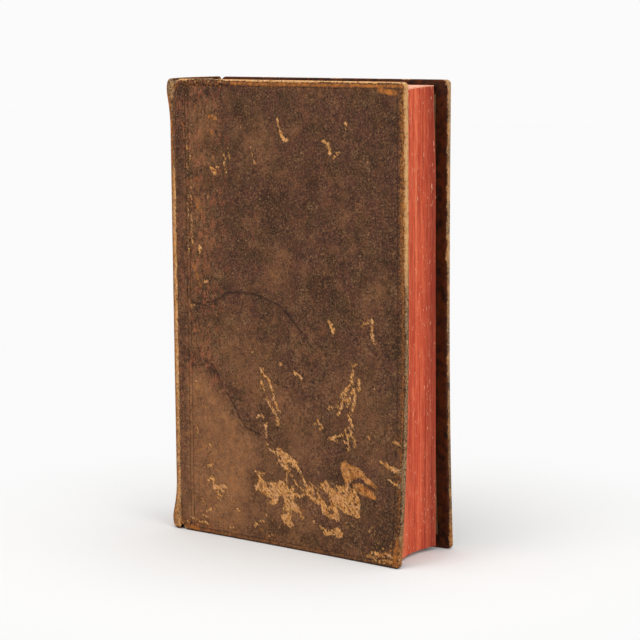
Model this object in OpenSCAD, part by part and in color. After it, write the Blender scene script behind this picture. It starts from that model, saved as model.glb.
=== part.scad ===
// Hardback book bound in full leather, standing on its tail.
// X runs from the spine (-X) to the fore-edge (+X), Y from the front cover (-Y) to the back
// cover (+Y), and Z from the tail to the head. Lengths are in millimetres.
// Inside the modules X is counted from the ridge of the joint, and Y from the middle leaf.

/* [Covers] */
// Height of a cover from tail to head
cover_h = 200; // [160:1:240]
// Width of a cover from its joint to its fore-edge
cover_w = 119; // [90:1:150]
// Thickness of the pasteboard
board_t = 2.1; // [1.6:0.1:3.5]
// Thickness of the leather on the covers
leather_t = 0.5; // [0.4:0.1:0.9]
// Width of the leather that is turned in round a cover's inner edges
turn_in = 12; // [8:1:18]
// Thickness of the turned-in leather at its pared margin
pared_t = 0.05; // [0.04:0.01:0.2]
// Radius that wear has given the covers' edges
edge_round = 0.8; // [0.5:0.1:1.2]
// Radius that wear has given the covers' fore-edge corners
corner_round = 2; // [1:0.5:5]
// Length cut back from a board's corners at the joint
back_corner = 3; // [2:0.5:6]

/* [Warp of the covers] */
// How far the front cover leans out at the tail of its fore-edge
front_tail_lean = 5.8; // [0:0.1:8]
// How far the front cover leans out halfway up its fore-edge
front_middle_lean = 0; // [0:0.1:4]
// How far the front cover leans out at the head of its fore-edge
front_head_lean = 0; // [0:0.1:8]
// How far the back cover leans out at the tail of its fore-edge
back_tail_lean = 3; // [0:0.1:8]
// How far the back cover leans out halfway up its fore-edge
back_middle_lean = 0.1; // [0:0.1:4]
// How far the back cover leans out at the head of its fore-edge
back_head_lean = 1; // [0:0.1:8]
// How sharply a cover curls towards its fore-edge
lean_power = 1.5; // [1:0.1:3]

/* [Endpapers] */
// Thickness of a pastedown
pastedown_t = 0.2; // [0.1:0.05:0.4]
// Width of turned-in leather left showing round a pastedown
turn_in_shown = 6; // [2:0.5:8]

/* [Text block] */
// Thickness of the leaves between the covers
text_t = 27.7; // [15:0.1:60]
// How far the covers stand out past the leaves at the head
head_square = 2.3; // [1.8:0.1:4]
// How far the covers stand out past the leaves at the tail
tail_square = 1.6; // [1.4:0.1:4]
// How far the covers stand out past the leaves at the fore-edge
fore_square = 5; // [2:0.5:8]
// Depth of the hollow in the fore-edge
fore_hollow = 2.5; // [1:0.1:5]

/* [Spine] */
// How far the rounded spine stands behind its ridges
spine_round = 5.5; // [3:0.1:9]
// Width of the joint from the ridge to the cover
joint_w = 3; // [2.6:0.1:5]
// Thickness of the leather on the spine
spine_leather_t = 0.6; // [0.4:0.1:0.9]
// Thickness of the lining glued to the back of the leaves
lining_t = 0.3; // [0.2:0.05:0.6]
// Size of the rounding on the ridges of the joint
ridge_round = 0.8; // [0.4:0.1:1.2]
// How far the leather cap would flare out at the head without its curled rim
head_cap_flare = 3.4; // [0:0.1:5]
// How far the leather cap would flare out at the tail without its curled rim
tail_cap_flare = 4.5; // [0:0.1:5]
// Height of the stretch in which a cap flares
cap_h = 22; // [16:1:30]
// Height over which the rim of a cap curls back in
cap_rim_h = 8; // [4:0.5:9]
// How far inside the straight stretch of the spine the rim of a cap ends
cap_rim_in = 0.6; // [0:0.1:1]
// Width of a cap over the endband
cap_w = 3; // [1.5:0.1:4]

/* [Sewing] */
// Number of sewing cords
cord_count = 5; // [3:1:7]
// Diameter of a sewing cord
cord_d = 1.4; // [0.8:0.1:2]
// Distance from the ends of the leaves to the nearest cords
cord_margin = 24; // [15:1:40]
// Half the length of an endband, across the leaves
endband_reach = 13; // [6:0.5:14]
// Width of a cord end that is laced into a board
slip_w = 5; // [3:0.5:8]
// Length of a laced cord end on the outside of a board
slip_out = 8; // [6:0.5:12]
// Length of a laced cord end on the inside of a board
slip_in = 7; // [5:0.5:10]
// Thickness of a laced cord end, beaten flat
slip_t = 0.5; // [0.3:0.05:0.7]

/* [Fits] */
// Air between the leaves and a closed cover
cover_gap = 0.2; // [0.2:0.05:1]
// Gap in the leather at a joint, and the room that an opened cover has there
joint_gap = 0.3; // [0.3:0.05:0.6]
// Room between pieces that are pasted or bedded together
seat_gap = 0.05; // [0.02:0.01:0.08]
// Room between a board and the shoulder of the leaves
shoulder_gap = 0.5; // [0.4:0.05:1]

/* [Hidden] */
$fn = 96;
FRONT = [front_tail_lean, front_middle_lean, front_head_lean];
BACK = [back_tail_lean, back_middle_lean, back_head_lean];
board_x = joint_w;
fore_x = board_x + cover_w;
inner_q = leather_t + board_t;
edge_t = inner_q + leather_t;
outer_y = text_t / 2 + cover_gap + pastedown_t + seat_gap + edge_t;
hinge_x = board_x - joint_gap / 2;
spine_y = outer_y - joint_gap - seat_gap;
round_r = (spine_y * spine_y + spine_round * spine_round) / (2 * spine_round);
round_x = round_r - spine_round;
text_r = round_r - spine_leather_t - lining_t - 2 * seat_gap;
text_z = tail_square;
text_h = cover_h - head_square - tail_square;
text_fore_x = fore_x - fore_square;
shoulder_y = spine_y - spine_leather_t - joint_gap;
shoulder_x = board_x - shoulder_gap;
shoulder_fillet = 0.8;
cord_r = cord_d / 2;
cord_arc_r = text_r - cord_r - seat_gap;
cord_pitch = (text_h - 2 * cord_margin) / (cord_count - 1);
// Heights of the rings of the spine's leather, from either end
CAP_RINGS = [
    0, spine_leather_t - seat_gap, spine_leather_t,
    cap_rim_h / 4, cap_rim_h / 2, 0.75 * cap_rim_h, cap_rim_h, 0.6 * cap_h, 0.8 * cap_h, cap_h
];
low_x = -spine_round - max([for (d = CAP_RINGS, flare = [head_cap_flare, tail_cap_flare]) cap_out(d, flare)]);
mid_x = (low_x + fore_x) / 2;
mid_y = (max(FRONT) - max(BACK)) / 2;

// Stations across a cover, close together at the cut-back and the rounded corners
ACROSS = concat(
    [for (i = [0:2]) back_corner * i / 3],
    [for (i = [0:10]) back_corner + (cover_w - back_corner - corner_round) * i / 10],
    [for (i = [1:3]) cover_w - corner_round + corner_round * sin(30 * i)]
);
LAST = len(ACROSS) - 1;
ROWS = 16;

// Height of a sewing cord
function cord_z(k) = text_z + cord_margin + (k - 1) * cord_pitch;

// How far a cover leans outwards at a place x across and z up
function lean_at(x, z, lean) =
    let (
        across = max(0, (x - board_x) / cover_w),
        up = 2 * z / cover_h - 1,
        end = up < 0 ? lean[0] : lean[2]
    )
    pow(across, lean_power) * (lean[1] + (end - lean[1]) * up * up);

// Height of a cover's tail edge at x, raised at the cut-back and the rounded corner
function tail_edge(x) =
    let (u = x - board_x, v = fore_x - x)
    u < back_corner ? back_corner * pow(1 - u / back_corner, 2)
    : v < corner_round ? corner_round - sqrt(max(0, v * (2 * corner_round - v)))
    : 0;

// A point of the front cover at station i across, row j up, a distance s in from the edges
// and a depth q in from the outer face
function cover_point(i, j, s, q, lean) =
    let (
        x = board_x + ACROSS[i] / cover_w * (cover_w - s),
        low = tail_edge(x) + s,
        z = low + j / ROWS * (cover_h - 2 * low)
    )
    [x, -(outer_y + lean_at(x, z, lean) - q), z];

// A sheet of points at one inset and depth
function cover_sheet(s, q, lean) =
    [for (i = [0:LAST], j = [0:ROWS]) cover_point(i, j, s, q, lean)];

// Two triangles for the cell above and beside corner (i, j) of a sheet that starts at base,
// cut along the mitre line of the nearer corner
function cell(i, j, base, rows) =
    let (
        a = base + i * (rows + 1) + j,
        b = a + rows + 1
    )
    j < rows / 2 ? [[a, a + 1, b], [a + 1, b + 1, b]] : [[a, a + 1, b + 1], [a, b + 1, b]];

// All triangles of a sheet, turned over if flip is true
function sheet_faces(base, last, rows, flip) =
    [for (i = [0:last - 1], j = [0:rows - 1], t = cell(i, j, base, rows))
        flip ? [t[2], t[1], t[0]] : t];

// Stations [i, j] along tail edge, fore-edge and head edge of a sheet
function rim(last, rows) = concat(
    [for (i = [0:last]) [i, 0]],
    [for (j = [1:rows]) [last, j]],
    [for (i = [last - 1:-1:0]) [i, rows]]
);

// A closed slab between two sheets of the same size: low holds the points of the outer one
module slab(low, high, last, rows) {
    size = len(low);
    around = concat(rim(last, rows), [for (j = [rows - 1:-1:1]) [0, j]]);
    n = len(around);
    function at(k) = around[k % n][0] * (rows + 1) + around[k % n][1];
    polyhedron(
        points = concat(low, high),
        faces = concat(
            sheet_faces(0, last, rows, false),
            sheet_faces(size, last, rows, true),
            [for (k = [0:n - 1], t = [
                [at(k), at(k + 1), at(k + 1) + size],
                [at(k), at(k + 1) + size, at(k) + size]
            ]) t]
        )
    );
}

// The front or the back cover's own place: both are drawn as the front one
module at_front() {
    translate([-mid_x, mid_y, 0])
        children();
}

module at_back() {
    translate([-mid_x, mid_y, 0])
        mirror([0, 1, 0])
            children();
}

// A small warped box in a cover: x, z and depth ranges
module cover_box(xs, zs, qs, lean) {
    low = [for (x = xs, z = zs) [x, -(outer_y + lean_at(x, z, lean) - qs[0]), z]];
    high = [for (x = xs, z = zs) [x, -(outer_y + lean_at(x, z, lean) - qs[1]), z]];
    slab(low, high, 1, 1);
}

// The three runs of a laced cord end: over the board, through it and spread inside it.
// The room around it is given by grow, and reach lets a cutter run out of the board.
module slip(k, lean, grow, reach) {
    z = cord_z(k);
    half = slip_w / 2 + grow;
    pass = board_x + slip_out;
    cover_box(
        [board_x - reach, pass], [z - half, z + half],
        [leather_t + (reach > 0 ? -reach : seat_gap), leather_t + slip_t + grow], lean
    );
    cover_box(
        [pass - slip_w / 2 - grow, pass + grow], [z - half / 2, z + half / 2],
        [leather_t + (reach > 0 ? -reach : 2 * seat_gap), inner_q + (reach > 0 ? reach : -2 * seat_gap)],
        lean
    );
    cover_box(
        [pass - slip_w / 2 - grow, pass + slip_in + grow], [z - half, z + half],
        [inner_q - slip_t - grow, inner_q + (reach > 0 ? reach : -seat_gap)], lean
    );
}

// Pasteboard with a channel and a hole for each laced cord end
module board(lean) {
    color("#8d7a5f")
        difference() {
            slab(
                cover_sheet(leather_t, leather_t, lean),
                cover_sheet(leather_t, inner_q, lean), LAST, ROWS
            );
            for (k = [1:cord_count])
                slip(k, lean, seat_gap, 1);
        }
}

module slips(lean) {
    color("#b9a57c")
        for (k = [1:cord_count])
            slip(k, lean, 0, 0);
}

// Leather over the outer face, round three edges and turned in on the inner face
module cover_leather(lean) {
    e = edge_round;
    c = e * (1 - cos(45));
    section = [
        [c, c], [0, e], [0, edge_t - e], [c, edge_t - c], [e, edge_t],
        [turn_in, inner_q + seat_gap + pared_t],
        [turn_in, inner_q + seat_gap], [leather_t, inner_q + seat_gap]
    ];
    depth = len(section);
    outer = cover_sheet(e, 0, lean);
    inner = cover_sheet(leather_t, leather_t, lean);
    size = len(outer);
    around = rim(LAST, ROWS);
    n = len(around);
    ring = [for (k = [0:n - 1], p = section)
        cover_point(around[k][0], around[k][1], p[0], p[1], lean)];
    // Index of the point p of the section at station k: 0 lies on the outer sheet, and the
    // last one on the inner sheet
    function at(k, p) =
        let (cell_index = around[k][0] * (ROWS + 1) + around[k][1])
        p == 0 ? cell_index
        : p == depth + 1 ? size + cell_index
        : 2 * size + k * depth + p - 1;
    // The section's own area as triangles and quads, for the cut ends at the joint
    cut = [
        [0, 1, 9], [1, 2, 9], [2, 3, 8], [2, 8, 9],
        [3, 4, 8], [4, 5, 8], [5, 6, 7], [5, 7, 8]
    ];
    color("#5b4030")
        polyhedron(
            points = concat(outer, inner, ring),
            faces = concat(
                sheet_faces(0, LAST, ROWS, false),
                sheet_faces(size, LAST, ROWS, true),
                [for (k = [0:n - 2], p = [0:depth], t = [
                    [at(k, p), at(k + 1, p), at(k + 1, p + 1)],
                    [at(k, p), at(k + 1, p + 1), at(k, p + 1)]
                ]) t],
                [for (t = cut) [at(0, t[0]), at(0, t[1]), at(0, t[2])]],
                [for (t = cut) [at(n - 1, t[2]), at(n - 1, t[1]), at(n - 1, t[0])]],
                [for (j = [0:ROWS - 1], t = [
                    [j, size + j, size + j + 1],
                    [j, size + j + 1, j + 1]
                ]) t]
            )
        );
}

// Height of the turned-in leather's surface over the board, at a distance d from the edge
function turn_in_rise(d) =
    d < turn_in ? leather_t + (pared_t + seat_gap - leather_t) * (d - edge_round) / (turn_in - edge_round)
    : pared_t + seat_gap;

// Paper pasted over the board and the turned-in leather
module pastedown(lean) {
    xs = concat(
        [for (i = [0:8]) board_x + 1 + (cover_w - 1 - turn_in) * i / 8],
        [fore_x - turn_in_shown]
    );
    zs = concat(
        [turn_in_shown],
        [for (j = [0:12]) turn_in + (cover_h - 2 * turn_in) * j / 12],
        [cover_h - turn_in_shown]
    );
    function face(lift) = [for (x = xs, z = zs)
        let (d = min(fore_x - x, z, cover_h - z))
        [x, -(outer_y + lean_at(x, z, lean) - inner_q - turn_in_rise(d) - seat_gap - lift), z]];
    color("#cbb98f")
        slab(face(0), face(pastedown_t), len(xs) - 1, len(zs) - 1);
}

// An arc that follows the rounded spine at radius r: its section is drawn at the origin
module spine_arc(r, reach, z) {
    angle = asin(reach / r);
    translate([round_x, 0, z])
        rotate([0, 0, 180 - angle])
            rotate_extrude(angle = 2 * angle)
                translate([r, 0])
                    children();
}

// Outline of the leaves: rounded spine, shoulders that hold the boards, hollow fore-edge
module text_outline() {
    hollow_r = (pow(text_t / 2, 2) + fore_hollow * fore_hollow) / (2 * fore_hollow);
    difference() {
        union() {
            intersection() {
                translate([round_x, 0])
                    circle(text_r, $fn = 180);
                translate([low_x, -shoulder_y])
                    square([shoulder_x - low_x, 2 * shoulder_y]);
            }
            translate([shoulder_x - 1, -text_t / 2])
                square([text_fore_x - shoulder_x + 1, text_t]);
            for (side = [-1, 1])
                scale([1, side])
                    difference() {
                        translate([shoulder_x - 1, text_t / 2 - 1])
                            square([shoulder_fillet + 1, shoulder_fillet + 1]);
                        translate([shoulder_x + shoulder_fillet, text_t / 2 + shoulder_fillet])
                            circle(shoulder_fillet, $fn = 32);
                    }
        }
        translate([text_fore_x - fore_hollow + hollow_r, 0])
            circle(hollow_r, $fn = 180);
    }
}

// The leaves, with a saw kerf for each sewing cord
module text_block() {
    kerf = cord_r + seat_gap;
    color("#b4472c")
        at_front()
            difference() {
                translate([0, 0, text_z])
                    linear_extrude(text_h)
                        text_outline();
                for (k = [1:cord_count])
                    spine_arc(text_r, text_r * sin(45), cord_z(k))
                        translate([-2 * kerf, -kerf])
                            square([2 * kerf + lining_t, 2 * kerf]);
            }
}

module sewing_cord(k) {
    color("#b9a57c")
        at_front()
            spine_arc(cord_arc_r, shoulder_y - cord_r, cord_z(k))
                circle(cord_r, $fn = 24);
}

// Lining glued over the back of the leaves
module spine_lining() {
    color("#9c8a6a")
        at_front()
            spine_arc(text_r + seat_gap, shoulder_y - cord_r, text_z)
                square([lining_t, text_h]);
}

// Half the height of an endband under its cap, from the square that it stands in
function endband_r(square_h) = (square_h - spine_leather_t - 2 * seat_gap) / 2;

module endband(square_h, z) {
    r = endband_r(square_h);
    color("#c8b48a")
        at_front()
            spine_arc(text_r - 1.5 * r, min(endband_reach, text_t / 2 - seat_gap), z)
                circle(r, $fn = 24);
}

module head_band() {
    endband(head_square, text_z + text_h + endband_r(head_square) + seat_gap);
}

module tail_band() {
    endband(tail_square, text_z - endband_r(tail_square) - seat_gap);
}

// How far the spine's leather stands out behind its straight stretch, d from its end
function cap_out(d, flare) =
    let (rim_part = max(0, 1 - d / cap_rim_h))
    flare * pow(max(0, 1 - d / cap_h), 2)
    - (flare + cap_rim_in) * (1 - sqrt(1 - rim_part * rim_part));

// One ring of the spine's leather at height z: outer points and then inner ones. The cap
// stands cap_here in over the endband, and thins towards the ridges.
function spine_ring(z, cap_here) =
    let (
        out = z < cover_h / 2 ? cap_out(z, tail_cap_flare) : cap_out(cover_h - z, head_cap_flare),
        land_x = hinge_x - joint_gap / 2,
        full = asin(spine_y / round_r),
        soft = full - asin(ridge_round / round_r),
        turns = [for (a = [-8:8]) soft * a / 8],
        lip = function(a) spine_leather_t + (cap_here - spine_leather_t) * (1 - pow(a / full, 4))
    )
    concat(
        [[land_x, -spine_y, z], [ridge_round - out, -spine_y, z]],
        [for (a = turns) [round_x - out - round_r * cos(a), round_r * sin(a), z]],
        [[ridge_round - out, spine_y, z], [land_x, spine_y, z]],
        [[land_x, -spine_y + spine_leather_t, z],
            [ridge_round + spine_leather_t / 2 - out, -spine_y + spine_leather_t, z]],
        [for (a = turns) [
            round_x - out - (round_r - lip(a)) * cos(a), (round_r - lip(a)) * sin(a), z
        ]],
        [[ridge_round + spine_leather_t / 2 - out, spine_y - spine_leather_t, z],
            [land_x, spine_y - spine_leather_t, z]]
    );

// Leather over the spine, with a flared cap turned over each endband
module spine_leather() {
    top = len(CAP_RINGS) - 1;
    levels = concat(
        [for (k = [0:top]) [CAP_RINGS[k], k < 2 ? cap_w : spine_leather_t]],
        [for (k = [top:-1:0]) [cover_h - CAP_RINGS[k], k < 2 ? cap_w : spine_leather_t]]
    );
    rings = [for (l = levels) spine_ring(l[0], l[1])];
    n = len(rings[0]);
    half = n / 2;
    // Points round one ring in order: along the outer ones and back along the inner ones
    order = concat([for (i = [0:half - 1]) i], [for (i = [n - 1:-1:half]) i]);
    function at(l, i) = l * n + order[i % n];
    color("#5b4030")
        at_front()
            polyhedron(
                points = [for (r = rings, p = r) p],
                faces = concat(
                    [for (l = [0:len(levels) - 2], i = [0:n - 1], t = [
                        [at(l, i), at(l + 1, i), at(l + 1, i + 1)],
                        [at(l, i), at(l + 1, i + 1), at(l, i + 1)]
                    ]) t],
                    [for (i = [0:half - 2], t = [
                        [i, i + 1, half + i + 1], [i, half + i + 1, half + i]
                    ]) t],
                    [for (i = [0:half - 2], t = [
                        [i, half + i + 1, i + 1], [i, half + i, half + i + 1]
                    ]) [for (v = t) (len(levels) - 1) * n + v]]
                )
            );
}

text_block();
spine_lining();
head_band();
tail_band();
spine_leather();
for (k = [1:cord_count])
    sewing_cord(k);
at_front() board(FRONT);  // front_board
at_front() slips(FRONT);  // front_slips
at_front() cover_leather(FRONT);  // front_leather
at_front() pastedown(FRONT);  // front_pastedown
at_back() board(BACK);  // back_board
at_back() slips(BACK);  // back_slips
at_back() cover_leather(BACK);  // back_leather
at_back() pastedown(BACK);  // back_pastedown
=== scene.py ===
import math

import bpy
import numpy as np
from bpy.props import FloatProperty, FloatVectorProperty, PointerProperty
from mathutils import Matrix, Vector


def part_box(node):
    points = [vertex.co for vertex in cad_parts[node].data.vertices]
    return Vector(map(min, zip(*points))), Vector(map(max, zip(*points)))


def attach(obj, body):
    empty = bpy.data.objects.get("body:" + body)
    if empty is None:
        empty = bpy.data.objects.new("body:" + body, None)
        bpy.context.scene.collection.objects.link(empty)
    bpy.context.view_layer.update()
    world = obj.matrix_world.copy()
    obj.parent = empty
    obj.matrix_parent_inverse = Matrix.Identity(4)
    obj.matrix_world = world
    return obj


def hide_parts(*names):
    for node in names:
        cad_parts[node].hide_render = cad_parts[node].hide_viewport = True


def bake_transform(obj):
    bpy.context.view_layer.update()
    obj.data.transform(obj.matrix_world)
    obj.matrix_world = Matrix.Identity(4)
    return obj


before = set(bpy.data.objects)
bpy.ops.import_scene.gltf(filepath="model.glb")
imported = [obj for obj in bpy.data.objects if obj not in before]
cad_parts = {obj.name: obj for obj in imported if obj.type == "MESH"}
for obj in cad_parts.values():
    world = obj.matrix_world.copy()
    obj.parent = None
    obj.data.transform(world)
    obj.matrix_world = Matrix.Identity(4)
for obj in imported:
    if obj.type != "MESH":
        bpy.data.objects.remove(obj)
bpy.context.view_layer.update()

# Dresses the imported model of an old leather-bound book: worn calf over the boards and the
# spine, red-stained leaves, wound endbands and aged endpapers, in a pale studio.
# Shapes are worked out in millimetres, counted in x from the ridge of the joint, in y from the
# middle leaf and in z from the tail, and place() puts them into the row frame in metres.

bl_info = {
    "name": "Old Leather Book",
    "version": (1, 0, 0),
    "blender": (4, 5, 0),
    "location": "3D View > Sidebar > Book",
    "description": "Dresses the packed model of an old leather-bound book",
    "category": "Object",
}

MM = 0.001

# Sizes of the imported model, in millimetres, with the leans of the covers at tail, middle and head
COVER_H = 200.0
COVER_W = 119.0
BOARD_X = 3.0
FORE_X = BOARD_X + COVER_W
HINGE_X = 2.85
OUTER_Y = 17.4
LEATHER_T = 0.5
INNER_Q = 2.6
EDGE_T = 3.1
EDGE_ROUND = 0.8
CORNER_ROUND = 2.0
BACK_CORNER = 3.0
TURN_IN = 12.0
PARED_T = 0.05
SEAT_GAP = 0.05
PASTEDOWN_T = 0.2
LEAN_POWER = 1.5
LEANS = {"front": (5.8, 0.0, 0.0), "back": (3.0, 0.1, 1.0)}
TEXT_T = 27.7
TEXT_LOW, TEXT_HIGH = 1.6, 197.7
TEXT_FORE_X = 117.0
FORE_HOLLOW = 2.5
TEXT_R = 28.18
SHOULDER_X, SHOULDER_Y, SHOULDER_FILLET = 2.5, 16.15, 0.8
ROUND_X, ROUND_R = 23.68, 29.18
SPINE_Y, SPINE_T = 17.05, 0.6
HEAD_FLARE, TAIL_FLARE = 3.4, 4.5
CAP_H, CAP_RIM_H, CAP_RIM_IN, CAP_W = 22.0, 8.0, 0.6, 3.0
ENDBAND_REACH = 13.0

# Leaves that show at the edges and their gatherings, how far their front corner sags at the
# tail and at the head, and how far the back ones are drawn in at the head
LEAF_COUNT, GATHERINGS = 385, 26
TAIL_SAG, HEAD_SAG = 0.6, 1.7
BACK_DRAW = 1.0

# x of the row frame's middle, counted from the ridge, and y of the middle leaf in the row frame
MID_X = FORE_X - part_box("front_leather")[1].x / MM
MID_Y = (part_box("text_block")[0].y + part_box("text_block")[1].y) / 2 / MM

# Pressed border lines of the covers: x of the upright ones, and z of the level ones
FILLETS_X = (8.5, 10.2, 118.3, 120.5)
FILLETS_Z = (2.2, 197.2)
GROOVE_HALF = 0.42

# Meshes of the covers: spacing of the points on the outer face, and how many of them one point
# of the sheet against the board stands for
FACE_STEP = 0.62
COARSE_EVERY = 9

# Wear of the covers: half the width of the strip at head, tail and fore-edge, the heights
# between which the fore-edge's strip turns from soiled to clean and wider, the depth of the
# scuffs, and how far the wear of a rubbed corner reaches
STRIP_HEAD, STRIP_TAIL, STRIP_FORE = 2.2, 1.1, 1.6
CLEAN_Z = (104, 132)
SCUFF_DEPTH = 0.1
CORNER_REACH = 10

# Endpaper through the joint: its thickness, and the middle and radius of its fold
JOINT_PAPER_T = 0.07
FOLD_X, FOLD_Y, FOLD_R = 2.76, 16.2, 0.16

# Worn patches of the front cover, each as the share of orange-brown in it, then x and z of the
# points round its outline
PATCHES = (
    (0.0, 55.8, 43.1, 58.2, 43.7, 59.9, 42, 61.6, 41.8, 63.3, 40.6, 65.3, 40, 67, 39.1, 68, 37,
     69.3, 35.2, 70.3, 32.7, 71.7, 30.8, 71.2, 30.5, 69.7, 32, 68.9, 33.9, 67, 34.8, 65.3, 35.6,
     64.1, 37, 62.8, 37.5, 62, 36.6, 63.3, 35, 64.7, 33.1, 65.8, 30.6, 64.9, 30.8, 63.7, 32.5,
     62.4, 33.5, 61, 33.9, 59.5, 35.2, 57.8, 36.2, 55.8, 36.2, 56.4, 37.3, 57.2, 38.3, 56.6,
     39.8, 56, 41.4),
    (0.0, 43.9, 31.8, 46, 32.5, 47.4, 31.4, 50.5, 31.2, 48.3, 30.4, 48.9, 29.1, 50.3, 27.3, 52,
     27, 54.1, 28.9, 54.5, 27.7, 55.8, 27.3, 58, 29.3, 59.9, 29.3, 62, 27.5, 63.7, 26.2, 65.3,
     28.1, 66.2, 27.7, 66, 25.6, 67.4, 24.8, 69.1, 24.3, 71.2, 24.3, 70.8, 23.3, 67.8, 22.7,
     66.2, 22.7, 66, 20.6, 67.8, 19.8, 69.3, 18.5, 69.7, 16.8, 71.4, 14.8, 71, 13.7, 69.1, 15.2,
     67, 16.8, 64.5, 16.4, 64.9, 14.3, 64.5, 12.7, 66.2, 10.6, 65.3, 9.3, 62.4, 9.3, 59.9, 11.8,
     58.7, 13.7, 59.9, 15, 59.7, 16.8, 60.3, 18.9, 60.5, 21.4, 59.7, 22.7, 57.8, 21.4, 57.2,
     19.3, 55.8, 18.1, 52.8, 18.3, 51.2, 17.7, 52.4, 18.9, 53.7, 20.2, 52, 21, 49.5, 21.8, 47.4,
     22.7, 44.9, 23.3, 44.5, 24.8, 45.8, 26.4, 46.6, 28.5, 46, 30.2),
    (0.25, 72.8, 29.1, 71.6, 26.4, 72, 25.2, 73.3, 24.3, 74.5, 23.1, 77.4, 21.4, 79.9, 21, 81,
     18.1, 82.8, 16.8, 85.3, 15.8, 87.8, 16, 89.5, 15.2, 91.2, 16.6, 90.3, 17.7, 89.5, 19.3,
     89.9, 21, 91.6, 20.2, 94.5, 19.3, 97, 18.7, 99.9, 18.3, 101.2, 19.3, 100.8, 22.7, 100.8,
     25.6, 99.7, 27.7, 99.1, 29.3, 97, 30.2, 93.7, 31.4, 90.3, 30.4, 88.3, 31, 87, 29.3, 85.8,
     29.3, 84.1, 31.2, 82.8, 32.3, 81.4, 31, 79.7, 30.6, 79.9, 29.3, 78.3, 28.1, 76.2, 29.8,
     74.1, 30.6, 74.1, 29),
    (0.0, 79.9, 13.1, 81, 11.8, 83.7, 11.4, 85.8, 11, 87.8, 11.8, 89.3, 13.3, 90.8, 13.1, 92.4,
     11, 92, 8.9, 90.3, 8.5, 87.8, 9.1, 83.7, 8.3, 82, 9.8, 80.5, 10.6),
    (0.7, 92.4, 42, 90.3, 39.8, 90.5, 37.3, 91.6, 34.8, 92.8, 32.7, 95.3, 32.3, 96.6, 33.9, 99.1,
     34.8, 100.8, 35.6, 103.7, 33.5, 106.2, 32.7, 108.9, 31.4, 109.7, 32.5, 106.6, 34.5, 103.7,
     36.4, 101.2, 38.5, 99.1, 39.8, 97, 39.8, 94.5, 40.8),
    (1.0, 96.6, 32.3, 100.3, 32.9, 103.7, 31.8, 107, 30.6, 109.1, 28.1, 108.3, 27.3, 105.3, 27.7,
     102.8, 28.3, 100.3, 29.5, 97, 30.6),
    (0.1, 21, 162.6, 22.5, 162.6, 24, 162, 25.6, 163.3, 26.6, 162.8, 25.2, 161.6, 25.6, 159.6,
     24.2, 158.6, 22.8, 160.2, 22.2, 161.2),
)

# Islands of sound leather in the worn patches, as half width, then x and z along a line
HOLES = (
    (0.5, 58, 39.3), (0.5, 59.1, 37), (0.8, 61.6, 15.4), (0.7, 52, 26), (0.5, 63.7, 18.9),
    (1.7, 80.6, 27, 83, 24.4), (1.1, 81.6, 25.6, 84, 22.4), (0.6, 76.6, 28.5, 78.3, 24.3),
    (0.9, 86.2, 19.3), (0.6, 89.7, 20.8), (0.4, 88.9, 22.3), (0.5, 88.5, 29.1), (0.4, 91.6, 28.1),
    (0.3, 94.9, 29.5), (0.5, 97.4, 26), (0.4, 98, 23.7), (0.4, 89.5, 17.3), (0.3, 89.9, 9.8),
    (0.3, 81.4, 10.6), (1.0, 96.2, 36, 97.4, 34.3), (0.8, 93.8, 54.2),
)

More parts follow.
